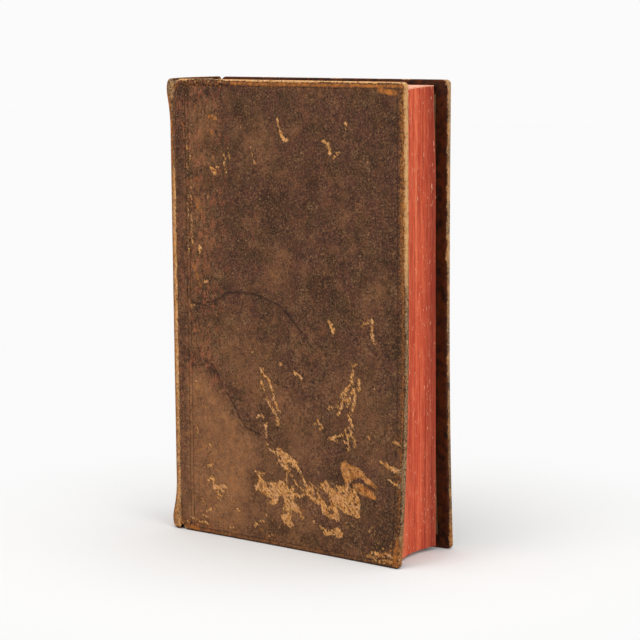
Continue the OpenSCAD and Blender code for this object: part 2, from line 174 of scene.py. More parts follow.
# Worn strokes on the front cover, as half width, then x and z of the points along a line
SCUFFS = (
    (0.6, 58, 183.5, 59, 180, 60.5, 176.5), (0.9, 60.5, 176.5, 61.5, 175.5, 63, 175),
    (0.6, 81.5, 175.5, 84, 174), (0.9, 84, 174, 85, 170.5), (0.45, 86, 168, 90, 171),
    (0.5, 93, 183, 93.5, 181), (0.35, 29.4, 168.3, 30.3, 166.1, 29.4, 163.9, 30.8, 160.6),
    (0.7, 23, 184.3, 25.5, 183.4), (0.5, 20.5, 149.4, 20.5, 149.8),
    (0.9, 15.5, 125.5, 15.7, 127.5), (0.6, 18, 112, 20, 113), (0.4, 14, 113, 14, 113.5),
    (0.5, 9, 109.5, 9.5, 109), (0.4, 10.5, 101, 11.5, 101.5), (1.0, 84, 99.5, 85, 97.5, 86, 96),
    (0.6, 101, 99.5, 103, 101, 105.5, 102.5),
    (0.6, 105.5, 102.5, 105.7, 98, 106, 94, 106.5, 92.8), (0.8, 66, 76.6, 68, 75.8, 69.6, 74.7),
    (0.8, 58.3, 79.2, 58.8, 79.5), (0.35, 43, 83, 45, 84), (0.35, 52, 83, 52.5, 83.4),
    (0.4, 12, 68, 12.5, 68), (0.3, 16, 68, 16.3, 68), (1.1, 48.8, 76.1),
    (0.65, 48.8, 76, 49.7, 73.6, 51.5, 73.2, 52.6, 71.4, 53.5, 69.1, 54.7, 66.4, 55.1, 63.6),
    (0.65, 55.1, 63.6, 56.3, 61.8, 56.5, 60.5, 58.5, 59.1),
    (0.45, 48.1, 74.1, 48.2, 71.4, 49.2, 69.5, 49.9, 67), (0.5, 48.3, 69.1, 47.6, 67.7),
    (0.6, 50.8, 63.9, 52.4, 62.3, 53.8, 60.5, 55.4, 58.2, 56.5, 56.4),
    (0.6, 56.5, 56.4, 57.2, 54.5, 57.6, 53), (0.5, 46, 55.5, 48.1, 56.8, 49.2, 55.7),
    (0.6, 49.5, 52.7, 50.8, 52.7, 50.6, 50.5), (0.3, 50.8, 49, 51, 44, 54, 41, 57, 40.5),
    (0.7, 97.9, 83, 96, 81.9),
    (0.7, 96, 80.1, 96, 78.7, 95.1, 76, 95.4, 74.6, 94, 73, 92.2, 71.5, 90.8, 70.1),
    (0.7, 90.8, 70.1, 89.9, 69.2), (0.6, 99, 76.7, 99, 74.6, 99, 72.4), (0.9, 99.2, 72.4),
    (0.6, 96.3, 72.4, 96.5, 71, 94.7, 70.1, 94.2, 67.4, 93.3, 65.1), (0.8, 93.3, 65.1),
    (0.7, 97, 70.5, 97.1, 67.8, 96.7, 65.1, 96, 63.3, 94.7, 61.9, 93.8, 60.1),
    (0.6, 94.5, 60.1, 95.4, 58.7, 96, 56.5),
    (0.5, 91.3, 70.1, 92.4, 69.6, 92.2, 67.8, 90.8, 67.4, 90.6, 65.1, 89.7, 62.4, 88.5, 60.8),
    (0.4, 92.2, 67.8, 92.9, 66), (0.4, 88.5, 66.7, 89.9, 66.7), (0.6, 88.1, 64.6),
    (0.7, 83.8, 63.3, 84.9, 63.7, 86, 63.7),
    (0.5, 94.5, 56.9, 93.5, 55.5, 92.4, 54.6, 92.2, 53.3, 93.5, 52.6),
    (0.5, 93.5, 52.6, 95.1, 52.6, 95.6, 54.2, 94.7, 55.5),
    (0.5, 95.1, 52.6, 97.2, 51.2, 97.4, 49.6, 97.2, 46.9),
    (0.5, 93.8, 52.4, 93.8, 50.1, 94.2, 48.3, 94.2, 46.5),
    (0.6, 91.7, 52.6, 89.5, 52.1, 87.6, 51.5, 85.8, 50.3), (0.6, 85.8, 50.3, 83.8, 50.1),
    (0.4, 85.4, 50.4, 88.1, 49.2), (0.4, 91.3, 50.3, 93.1, 49.2),
    (0.6, 78.1, 57.4, 77.6, 56, 75.8, 55.3), (0.6, 79, 56, 80.4, 54.6, 79.2, 53.3),
    (0.4, 80.8, 58.7), (0.5, 105.1, 53.3, 104.2, 52.4), (0.5, 107, 73.7), (0.4, 47, 9.8, 50, 9.8),
    (0.6, 71, 11.8), (0.4, 93.4, 14.6, 94.6, 13.4), (0.4, 96.4, 15.6, 97.8, 14.6),
    (0.35, 92.8, 16.2, 93.6, 15.8), (0.5, 110.5, 43.6, 113, 42.4), (0.9, 113, 42.4, 116.5, 41.2),
    (1.3, 117, 41, 120.6, 40.3), (0.5, 115, 36.4, 117, 35.4), (0.9, 117, 35.4, 120.6, 34.4),
    (0.7, 117, 52.4, 120.6, 51.4), (0.6, 71.2, 30.6, 72.2, 28.8, 73.4, 27),
    (0.5, 62.2, 33.6, 61.8, 30.4, 61.6, 27.6), (0.5, 70.6, 24.2, 72.4, 25),
    (0.9, 98.6, 30.4, 100.4, 30.6), (1.0, 93.6, 33, 93.8, 31),
    (0.5, 66.6, 29.6, 68.4, 27.4, 71.8, 26.4),
    (0.8, 18.5, 24, 21, 26, 22, 22, 24, 20, 24.5, 16.5), (0.9, 22, 21, 26, 22.4, 28.5, 22.6),
    (0.6, 26, 21, 28, 19), (0.6, 23, 20, 26.4, 17), (0.7, 18, 30.6, 21, 31.4),
    (0.5, 19, 40.6, 20.4, 39), (0.6, 17, 10, 20, 11.6), (0.6, 4, 3.6, 7, 4.2),
    (0.4, 8, 6.4, 11, 5.4), (0.5, 13, 4.6, 16, 5.2, 18, 4.2), (0.4, 15, 8, 19, 7.4),
    (0.7, 106, 3.4, 110, 3.0), (0.8, 108, 5, 114, 4.2), (0.8, 113, 2.4, 119, 2.6),
    (0.7, 115, 5.6, 118.5, 4.6), (0.6, 110, 1.8, 116, 1.6), (0.4, 108.6, 7), (0.4, 113.6, 7.4),
    (0.35, 117.4, 8.8), (0.3, 111, 9.6), (0.5, 117, 41.5, 120, 40.4), (0.4, 30, 5, 33, 4.4),
    (0.4, 52, 3.8, 55, 4.6), (0.5, 44, 7, 46, 8.4), (0.4, 106, 14, 109, 12.6),
    (0.35, 12.5, 44, 13.2, 49), (0.35, 34, 14, 36, 12.6), (0.4, 14.5, 16, 16.5, 13),
    (0.3, 11, 165, 11, 167), (0.2, 11.3, 158, 11.5, 128), (0.16, 9.4, 176, 9.4, 120),
    (0.3, 31.6, 171, 32.6, 166), (0.25, 44, 171, 46, 165), (0.25, 62.6, 21, 63, 14),
    (0.3, 50.6, 13.4, 52, 11.6, 54.4, 11), (0.25, 22, 14, 24, 12.6), (0.25, 76, 16, 77, 13),
    (0.3, 9.6, 199.1, 10.2, 199.1), (0.3, 14, 199, 15, 199), (0.3, 21, 199.2, 22, 199.2),
    (0.3, 27, 199, 28.4, 199),
)

# Places on the front cover where only the gloss is gone and orange-brown leather shows, as
# radius and strength, then x and z along a line
RUBS = (
    (1.6, 0.7, 22.6, 178.6, 23.4, 176.6), (2.2, 0.8, 22, 184, 25, 183), (1.4, 1.0, 59, 13.7),
    (1.8, 1.0, 86.2, 21.8), (1.6, 1.0, 83.3, 18.9), (1.5, 1.0, 54, 61.8), (2.2, 0.8, 48.5, 6),
    (2.6, 1.0, 109.5, 196.6, 117, 195.6), (1.4, 1.0, 4.7, 198.6), (2.6, 1.0, 121, 12, 121, 4),
    (3.0, 0.8, 4, 2, 12, 1.4), (2.0, 0.75, 34, 198.4, 70, 198.4, 108, 198.3, 121, 198.4),
    (1.6, 0.6, 4, 1.2, 30, 1), (2.2, 0.6, 30, 26, 36, 22), (1.6, 0.7, 69, 18, 71, 17.5),
    (1.4, 0.6, 30, 0.8, 60, 0.8, 100, 0.8), (1.6, 0.7, 13, 150, 15, 144),
    (2.0, 0.6, 6, 182, 9, 178), (1.5, 0.6, 120.8, 190, 120.8, 20), (3, 0.55, 14, 158, 17, 140),
    (2.5, 0.6, 12, 120, 16, 110), (2.4, 0.6, 112, 4, 119, 8),
)

# Cracks and creases of the front cover
CRACKS = (
    (0.34, 11, 103, 17, 102, 22, 104, 27, 106, 30, 108.5, 36, 109, 44, 109, 52, 107, 58, 105, 62,
     102, 66, 98, 70, 94), (0.28, 17, 78, 22, 76, 25, 71, 27, 68), (0.25, 32, 63, 37, 62),
    (0.34, 30, 64, 33, 60, 36, 55, 40, 50, 48, 48), (0.16, 70, 147, 76, 152, 80, 156),
    (0.16, 97, 140, 99, 135), (0.14, 12, 150, 14, 132), (0.14, 112, 60, 114, 44),
    (0.2, 103, 34, 108, 31), (0.3, 65, 39, 67, 36, 68.4, 33.2),
    (0.4, 3, 198, 20, 197.8, 34, 197.7), (0.25, 54, 24.6, 55, 23), (0.25, 92.4, 24.6, 93, 23.6),
    (0.2, 96.4, 27.6, 97, 26.8), (0.35, 121, 198, 121, 190), (0.35, 3.1, 0, 3.1, 9, 2.95, 14),
    (0.25, 62, 24, 61.6, 19), (0.25, 86, 27.6, 88, 25.4), (0.2, 47, 26, 50, 24.4),
)

# Darker stretches of the front cover, as radius in place of half width
STAINS = (
    (5, 4, 193, 11, 193), (4, 4, 175, 6, 168), (8, 110, 186, 114, 182), (7, 79, 116, 82, 112),
    (8, 111, 12, 116, 18), (5, 74, 150, 76, 158), (6, 50, 56, 60, 48), (4, 54, 8, 78, 5),
    (5, 100, 17, 106, 24), (5, 37, 188, 42, 180), (3, 31, 68, 45, 52), (6, 54, 150, 56, 140),
    (4, 116, 150, 117, 90), (5, 20, 172, 24, 170), (5, 44, 28, 46, 20), (6, 92, 34, 96, 28),
)

# Lighter, warmer stretches of the front cover, with a strength after the radius
WARM = (
    (12, 0.35, 45, 40, 62, 30, 100, 20), (22, 0.55, 42, 18, 66, 12), (9, 1.0, 17, 60, 20, 50),
    (7, 0.7, 36, 34, 40, 26), (16, 0.6, 17, 168, 17, 184), (20, 0.45, 14, 120, 12, 150),
    (16, 0.4, 10, 88, 20, 84), (14, 0.35, 44, 178, 50, 170), (10, 0.35, 55, 115, 60, 125),
    (10, 0.3, 105, 108, 112, 118), (24, 0.42, 32, 86, 50, 66, 68, 44),
    (20, 0.32, 94, 74, 108, 50), (9, 0.9, 4, 9, 32, 6), (10, 0.8, 6, 44, 6, 12),
    (9, 0.4, 8, 110, 8, 96),
)

# Outline of the warm brown at the foot of the front cover, which ends along a crease
FOOT = (3, 2, 3, 74, 16, 76, 25, 70, 33, 60, 39, 51, 49, 45, 49, 33, 46, 20, 40, 3)

# Stretches of the worn edge that are wider or narrower than the rest: x, z, radius and what is
# added to half the width
EDGE_CHANGES = (
    (120, 200, 4, 0.6), (121, 4, 6, 0.8), (20, 200, 13, -1.7), (60, 200, 26, 0.3),
    (3, 200, 4, 0.8), (4, 1, 9, 2.2), (122, 38, 12, 0.7), (122, 150, 30, 0.1),
)


def tone(red, green, blue):
    """Linear colour of an sRGB tone from 0 to 255."""
    parts = (c / 255 for c in (red, green, blue))
    return tuple(p / 12.92 if p <= 0.04045 else ((p + 0.055) / 1.055) ** 2.4 for p in parts)


# ---- shapes ----

def place(x, y, z):
    """Points in the row frame in metres, from millimetres in the book's own frame."""
    return np.stack(np.broadcast_arrays(x - MID_X, y + MID_Y, z), -1).reshape(-1, 3) * MM


def smooth(value, low=0.0, high=1.0):
    """An S-shaped step from 0 at low to 1 at high."""
    t = np.clip((value - low) / (high - low), 0, 1)
    return t * t * (3 - 2 * t)


def waves(u, v, size, seed, count=28):
    """An uneven field of about -1 to 1: a sum of plane waves of about one length, whose
    directions, lengths and phases are drawn from a seed."""
    draw = np.random.default_rng(seed)
    total = np.zeros(np.broadcast(u, v).shape)
    low, high = (0, 0, 0.6), (math.tau, math.tau, 1.7)
    for turn, phase, pace in draw.uniform(low, high, (count, 3)):
        total += np.cos(pace * math.tau / size * (u * math.cos(turn) + v * math.sin(turn)) + phase)
    return total / math.sqrt(count)


def from_segment(x, z, x0, z0, x1, z1):
    """Distance from points to the segment between two others, which may be the same."""
    dx, dz = x1 - x0, z1 - z0
    t = np.clip(((x - x0) * dx + (z - z0) * dz) / max(dx * dx + dz * dz, 1e-9), 0, 1)
    return np.hypot(x - x0 - t * dx, z - z0 - t * dz)


def stroke_reach(x, z, strokes, extra=0):
    """How far inside the nearest stroke each point lies: the stroke's half width less the
    distance to its line, negative outside. With extra numbers after the half width, the
    greatest of (reach / half width) times the first of them."""
    best = np.full(np.shape(x), -9.0 if not extra else 0.0)
    for half, *rest in strokes:
        line = rest[extra:]
        xs, zs = line[0::2], line[1::2]
        for ends in zip(xs, zs, xs[1:] or xs, zs[1:] or zs):
            inside = half - from_segment(x, z, *ends)
            best = np.maximum(best, rest[0] * smooth(inside / half) if extra else inside)
    return best


def outline_reach(x, z, outline):
    """Distance to a closed outline of x, z, x, z…: positive inside it, by the number of its
    sides that a level ray from the point crosses, and negative outside."""
    xs, zs = np.array(outline[0::2]), np.array(outline[1::2])
    away, inside = np.full(np.shape(x), 99.0), np.zeros(np.shape(x), bool)
    for x0, z0, x1, z1 in zip(xs, zs, np.roll(xs, -1), np.roll(zs, -1)):
        away = np.minimum(away, from_segment(x, z, x0, z0, x1, z1))
        if z1 != z0:
            crossing = x0 + (z - z0) * (x1 - x0) / (z1 - z0)
            inside ^= ((z0 > z) != (z1 > z)) & (x < crossing)
    return np.where(inside, away, -away)


def worn_reach(x, z):
    """How far inside the worn patches and strokes of the front cover points lie, and the share
    of orange-brown there."""
    wear, orange = stroke_reach(x, z, SCUFFS), np.zeros(np.shape(x))
    for share, *outline in PATCHES:
        reach = outline_reach(x, z, outline)
        wear = np.maximum(wear, reach)
        orange = np.maximum(orange, share * smooth(reach, -1.0, 0.4))
    return np.minimum(wear, -stroke_reach(x, z, HOLES)), orange


def add_object(name, data):
    """A new object in the scene for a mesh, a lamp or a camera."""
    made = bpy.data.objects.new(name, data)
    bpy.context.scene.collection.objects.link(made)
    return made


def quads(ids, flip=False):
    """The four-cornered cells of a grid of point numbers."""
    cells = np.stack((ids[:-1, :-1], ids[1:, :-1], ids[1:, 1:], ids[:-1, 1:]), -1).reshape(-1, 4)
    return cells[:, ::-1] if flip else cells


def tube_faces(shape):
    """Faces of a tube of points: the cells of a grid that closes on itself across, and one
    face over each end."""
    ids = np.arange(np.prod(shape)).reshape(shape)
    return [quads(np.concatenate((ids, ids[:, :1]), 1)), ids[0][None, ::-1], ids[-1][None, :]]


def zip_rows(fine, coarse, owner):
    """Faces between a fine row of points and a coarse one: each fine point is tied to the
    coarse point that owner names, with a triangle where two neighbours share it."""
    one, two = coarse[owner[:-1]], coarse[owner[1:]]
    same = one == two
    tri = np.stack((fine[:-1], fine[1:], one), -1)[same]
    quad = np.stack((fine[:-1], fine[1:], two, one), -1)[~same]
    return tri, quad


def box_surface(shape):
    """The points on the six sides of a lattice of this shape, as their three numbers, and the
    cells that join them, outward."""
    ids = np.arange(np.prod(shape)).reshape(shape)
    cells = np.concatenate([
        quads(ids[0], True), quads(ids[-1]), quads(ids[:, 0]), quads(ids[:, -1], True),
        quads(ids[:, :, 0], True), quads(ids[:, :, -1]),
    ])
    used, cells = np.unique(cells, return_inverse=True)
    return np.unravel_index(used, shape), cells.reshape(-1, 4)


def make_piece(name, points, faces, materials, fields=None, face_slots=None, sharp=38):
    """A mesh object from points in metres and arrays of faces. All faces are turned over if
    the volume that they close, summed over fans of triangles, comes out negative."""
    volume = 0.0
    for face in faces:
        for k in range(1, face.shape[1] - 1):
            a, b, c = (points[face[:, n]] for n in (0, k, k + 1))
            volume += np.einsum("ij,ij", a, np.cross(b, c))
    if volume < 0:
        faces = [face[:, ::-1] for face in faces]
    corners = np.concatenate([face.ravel() for face in faces])
    sizes = np.concatenate([np.full(len(face), face.shape[1]) for face in faces])
    mesh = bpy.data.meshes.new(name)
    mesh.vertices.add(len(points))
    mesh.vertices.foreach_set("co", points.astype(np.float32).ravel())
    mesh.loops.add(len(corners))
    mesh.loops.foreach_set("vertex_index", corners.astype(np.int32))
    mesh.polygons.add(len(sizes))
    starts = np.concatenate(([0], np.cumsum(sizes)[:-1]))
    mesh.polygons.foreach_set("loop_start", starts.astype(np.int32))
    if face_slots is not None:
        mesh.polygons.foreach_set("material_index", face_slots.astype(np.int32))
    mesh.update(calc_edges=True)
    if mesh.validate():
        raise RuntimeError(f"{name} has faces that don't hold together")
    mesh.polygons.foreach_set("use_smooth", np.ones(len(sizes), bool))
    mesh.set_sharp_from_angle(angle=math.radians(sharp))
    for field, values in (fields or {}).items():
        data = mesh.attributes.new(field, "FLOAT", "POINT").data
        data.foreach_set("value", values.astype(np.float32))
    for material in materials:
        mesh.materials.append(material)
    return add_object(name, mesh)


# ---- covers ----

def lean_at(x, z, lean):
    """How far a cover leans outwards: a power of the distance across, times a parabola in z
    through the leans at tail, middle and head."""
    across = np.maximum(0, (x - BOARD_X) / COVER_W)
    up = 2 * z / COVER_H - 1
    end = np.where(up < 0, lean[0], lean[2])
    return across ** LEAN_POWER * (lean[1] + (end - lean[1]) * up * up)


def tail_edge(x):
    """Height of a cover's tail edge: a parabola at the corner by the joint, a quarter circle
    at the fore-edge corner."""
    u, v = x - BOARD_X, FORE_X - x
    cut = BACK_CORNER * np.clip(1 - u / BACK_CORNER, 0, 1) ** 2
    inside = np.clip(v, 0, CORNER_ROUND)
    return cut + CORNER_ROUND - np.sqrt(inside * (2 * CORNER_ROUND - inside))


def stations(low, high, step, lines):
    """Distances about a step apart from low to high, with close ones across each line."""
    base = np.linspace(low, high, round((high - low) / step) + 1)
    clear = np.min(np.abs(np.subtract.outer(base, lines)), 1) > GROOVE_HALF + step / 4
    clear[[0, -1]] = True
    near = np.add.outer(lines, np.linspace(-1, 1, 7) * GROOVE_HALF).ravel()
    return np.sort(np.concatenate((base[clear], near)))


def edge_section():
    """The leather's way round a board's edge, as distances in from the edge and from the outer
    face: a quarter circle, the edge, a quarter circle, the sloping turn-in, its pared margin
    and the corner underneath."""
    turn = np.radians(np.arange(15, 91, 15))
    e = EDGE_ROUND
    seat = INNER_Q + SEAT_GAP
    slope = np.linspace(0, 1, 9)[1:]
    return np.concatenate((
        np.stack((e - e * np.sin(turn), e - e * np.cos(turn)), -1),
        [(0, EDGE_T / 2 - 0.3), (0, EDGE_T / 2), (0, EDGE_T / 2 + 0.3)],
        np.stack((e - e * np.cos(turn - turn[0]), EDGE_T - e + e * np.sin(turn - turn[0])), -1),
        [(e, EDGE_T)],
        np.stack((e + (TURN_IN - e) * slope, EDGE_T + (seat + PARED_T - EDGE_T) * slope), -1),
        [(TURN_IN, seat), (LEATHER_T, seat)],
    ))


def edge_width(side, x, z, from_head, from_tail, from_fore):
    """Half the width of the worn strip round a board's edge, measured over the surface from
    the middle of the edge: a width of its own at head, tail and fore-edge, with rises that fade
    with distance at the named places and corners, and two fields of waves."""
    at_head = from_head < from_fore
    fore = STRIP_FORE + 0.8 * smooth(z, *CLEAN_Z)
    width = np.where(at_head, STRIP_HEAD, np.where(from_tail < from_fore, STRIP_TAIL, fore))
    if side == "front":
        for x0, z0, radius, more in EDGE_CHANGES:
            width = width + more * smooth(1 - np.hypot(x - x0, z - z0) / radius)
    else:
        width = width - np.where(at_head, 1.3, 0.3) + 0.6 * waves(x, z, 9, 25)
        width = width + 1.2 * smooth(1 - np.hypot(from_fore, from_head) / 9)
        width = width + 1.5 * smooth(1 - np.hypot(from_fore, 0.5 * from_tail) / 9)
    return width + 0.25 * waves(x, z, 14, 5) + 0.15 * waves(x, z, 4, 6)


def cover_fields(side, x, z, s, q):
    """What the leather's finish reads at points of a cover, from their place and their
    distances in from the edge and from the outer face."""
    head, tail, fore = COVER_H - z, z, FORE_X - x
    from_middle = s + np.abs(q - EDGE_T / 2)
    width = edge_width(side, x, z, head, tail, fore)
    wear = width * np.where(q < EDGE_T / 2 + 0.1, 1, 0.8) - from_middle
    face = q < LEATHER_T
    if side == "front":
        patches, orange = worn_reach(x, z)
        foot = 0.95 * smooth(outline_reach(x, z, FOOT), -4, 9)
        corner = np.hypot(2.0 * fore, 0.5 * tail)
        wear = np.where(face, np.maximum(wear, patches + 0.12), wear)
        rub = np.maximum(stroke_reach(x, z, RUBS, extra=1), orange)
        soil = smooth(stroke_reach(x, z, CRACKS), -0.3, 0.2) * 0.9
        stain = smooth(stroke_reach(x, z, STAINS), -2.0, 4.0)
        warm = np.maximum(stroke_reach(x, z, WARM, extra=1), foot)
        grime = (1 - smooth(z, *CLEAN_Z)) * (fore < 2.6)
    else:
        corner = np.hypot(fore, 0.5 * tail)
        rub = smooth(waves(x, z, 30, 21), 1.0, 2.2) * 0.5
        soil = np.zeros(np.shape(x))
        stain = smooth(waves(x, z, 38, 22), 0.5, 1.8)
        warm = 0.55 * smooth(waves(x, z, 60, 23), -0.4, 1.8)
        grime = 0.35 + 0.65 * smooth(waves(x, z, 22, 24), -0.9, 0.7)
    face = face | (corner < CORNER_REACH)
    rub = np.maximum(rub, smooth(1 - corner / CORNER_REACH, 0, 0.6))
    soil = np.maximum(soil, 0.75 * groove_depth(x, z))
    joint = smooth(7.8 - x)
    # The crest is palest along the head and fainter down the fore-edge: partly pale worn leather,
    # partly a painted highlight where the top edge catches light from above
    crest = np.where(head < fore, 1.0, 0.25 + 0.45 * smooth(z, 60, 110))
    return {
        "wear": wear, "rub": rub * face, "soil": soil * face, "stain": stain * face,
        "warm": warm * face, "joint": joint * face, "inside": (q > INNER_Q) * 1.0,
        "crest": smooth(0.9 - s, 0.0, 0.9) * crest, "strip": smooth(4.5 - s),
        "grime": grime * smooth(corner, 4, 9),
    }


def groove_depth(x, z):
    """Share of a pressed line's depth: a bell curve across each line, inside the border."""
    inside = (x > FILLETS_X[0] - 1) & (x < FILLETS_X[-1] + 1)
    upright = np.min(np.abs(np.subtract.outer(x, FILLETS_X)), -1)
    level = np.min(np.abs(np.subtract.outer(z, FILLETS_Z)), -1)
    across = np.where(inside, np.minimum(upright, level), upright)
    return np.exp(-(across / (0.45 * GROOVE_HALF)) ** 2)


def cover_skin(side, sizes, material):
    """Leather of one cover: a fine sheet over the outer face, a section carried round tail,
    fore-edge and head, and a coarse sheet against the board, all leaning with the cover."""
    lean, sign = LEANS[side], -1 if side == "front" else 1
    e = EDGE_ROUND
    x_outer = stations(HINGE_X, FORE_X - e, FACE_STEP, FILLETS_X)
    z_outer = stations(e, COVER_H - e, FACE_STEP, FILLETS_Z)
    across = (x_outer - BOARD_X) * COVER_W / (COVER_W - e)
    rise = (z_outer - e) / (COVER_H - 2 * e)
    last_i, last_j = len(across) - 1, len(rise) - 1

    def point(a, f, s, q):
        """At a distance a across and a share f of the height, s in from the edge and q from the
        outer face."""
        x = BOARD_X + a / COVER_W * (COVER_W - s)
        low = tail_edge(x) + s
        z = low + f * (COVER_H - 2 * low)
        return np.broadcast_arrays(x, z, sign * (OUTER_Y + lean_at(x, z, lean) - q))

    def sheet(i, j, s, q):
        """The same at numbered places across and up."""
        return point(across[i][:, None], rise[j][None, :], s, q)

    # The outer sheet sinks at the pressed lines and has the swell of old pasteboard
    every_i, every_j = np.arange(last_i + 1), np.arange(last_j + 1)
    x, z, y = sheet(every_i, every_j, e, 0)
    calm = smooth(np.minimum(np.minimum(z, COVER_H - z), FORE_X - x), 1.2, 8) * smooth(x, 5, 16)
    swell = waves(x, z, 42, 11 + sign) + 0.4 * waves(x, z, 9, 13 + sign)
    swell = sizes.swell / MM * swell * calm
    worn = 0.0 if side == "back" else SCUFF_DEPTH * smooth(worn_reach(x, z)[0], -0.3, 0.5)
    y = y - sign * (sizes.fillet_depth / MM * groove_depth(x, z) + worn - swell)
    from_edge = np.minimum(np.minimum(z, COVER_H - z) - tail_edge(x), FORE_X - x)
    fields = [cover_fields(side, x, z, from_edge, 0 * x)]
    points = [place(x, y, z)]
    outer = np.arange(x.size).reshape(x.shape)

    # The ring: stations along tail, fore-edge and head, times the section
    a = np.concatenate((across, np.full(last_j - 1, across[-1]), across[::-1]))
    f = np.concatenate((np.zeros(last_i + 1), rise[1:-1], np.ones(last_i + 1)))
    edge = np.concatenate((outer[:, 0], outer[-1, 1:-1], outer[::-1, -1]))
    section = edge_section()
    x, z, y = point(a[:, None], f[:, None], section[None, :, 0], section[None, :, 1])
    s, q = np.broadcast_arrays(section[None, :, 0], section[None, :, 1])
    fields.append(cover_fields(side, x, z, s + 0 * x, q + 0 * x))
    points.append(place(x, y, z))
    ring = outer.size + np.arange(x.size).reshape(x.shape)
    ring = np.concatenate((edge[:, None], ring), 1)

    # The coarse sheet against the board
    coarse_i = np.unique(np.append(np.arange(0, last_i, COARSE_EVERY), last_i))
    coarse_j = np.unique(np.append(np.arange(0, last_j, COARSE_EVERY), last_j))
    x, z, y = sheet(coarse_i, coarse_j, LEATHER_T, LEATHER_T)
    fields.append(cover_fields(side, x, z, 9 + 0 * x, LEATHER_T + 0 * x))
    points.append(place(x, y, z))
    first = outer.size + (ring.size - len(edge))
    inner = first + np.arange(x.size).reshape(x.shape)
    own_i = np.abs(np.subtract.outer(every_i, coarse_i)).argmin(1)
    own_j = np.abs(np.subtract.outer(every_j, coarse_j)).argmin(1)
    around = np.concatenate((inner[own_i, 0], inner[-1, own_j[1:-1]], inner[own_i[::-1], -1]))
    tri, quad = zip_rows(ring[:, -1], np.arange(first + inner.size), around)

    # The cut end at the joint, as one face
    end = np.concatenate((outer[0, ::-1], ring[0, 1:], inner[0], ring[-1, :0:-1]))
    faces = [quads(outer), quads(inner, True), quads(ring), tri, quad, end[None, :]]
    piece = make_piece(
        f"{side}_cover_skin", np.concatenate(points), faces, [material],
        {key: np.concatenate([part[key].ravel() for part in fields]) for key in fields[0]},
    )
    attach(piece, f"{side}_cover")
    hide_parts(f"{side}_leather")
    return piece


# ---- spine ----

def cap_out(height):
    """How far the leather stands out at a height: the flare of the nearer cap, which fades with
    the square of the distance from its end, less the quarter ellipse of its curled rim."""
    d = np.minimum(height, COVER_H - height)
    flare = np.where(height > COVER_H / 2, HEAD_FLARE, TAIL_FLARE)
    rim = np.clip(1 - d / CAP_RIM_H, 0, 1)
    curl = (flare + CAP_RIM_IN) * (1 - np.sqrt(1 - rim * rim))
    return flare * np.clip(1 - d / CAP_H, 0, 1) ** 2 - curl


def spine_profile():
    """Outline across the spine from one hinge line to the other: land, ridge, the arc of the
    back, ridge and land, at even steps, with its corners smoothed by a running mean."""
    full = math.asin(SPINE_Y / ROUND_R)
    turn = np.linspace(-full, full, 90)
    land_x = np.linspace(HINGE_X, 0.5, 9)[:-1]
    land_y = OUTER_Y - 0.3 * smooth((HINGE_X - land_x) / 1.9)
    x = np.concatenate((land_x, ROUND_X - ROUND_R * np.cos(turn), land_x[::-1]))
    y = np.concatenate((-land_y, ROUND_R * np.sin(turn), land_y[::-1]))
    along = np.concatenate(([0], np.cumsum(np.hypot(np.diff(x), np.diff(y)))))
    even = np.linspace(0, along[-1], 121)
    x, y = np.interp(even, along, x), np.interp(even, along, y)
    for _ in range(5):
        x[1:-1] = (x[:-2] + x[1:-1] + x[2:]) / 3
        y[1:-1] = (y[:-2] + y[1:-1] + y[2:]) / 3
    return x, y, even, along[-1]


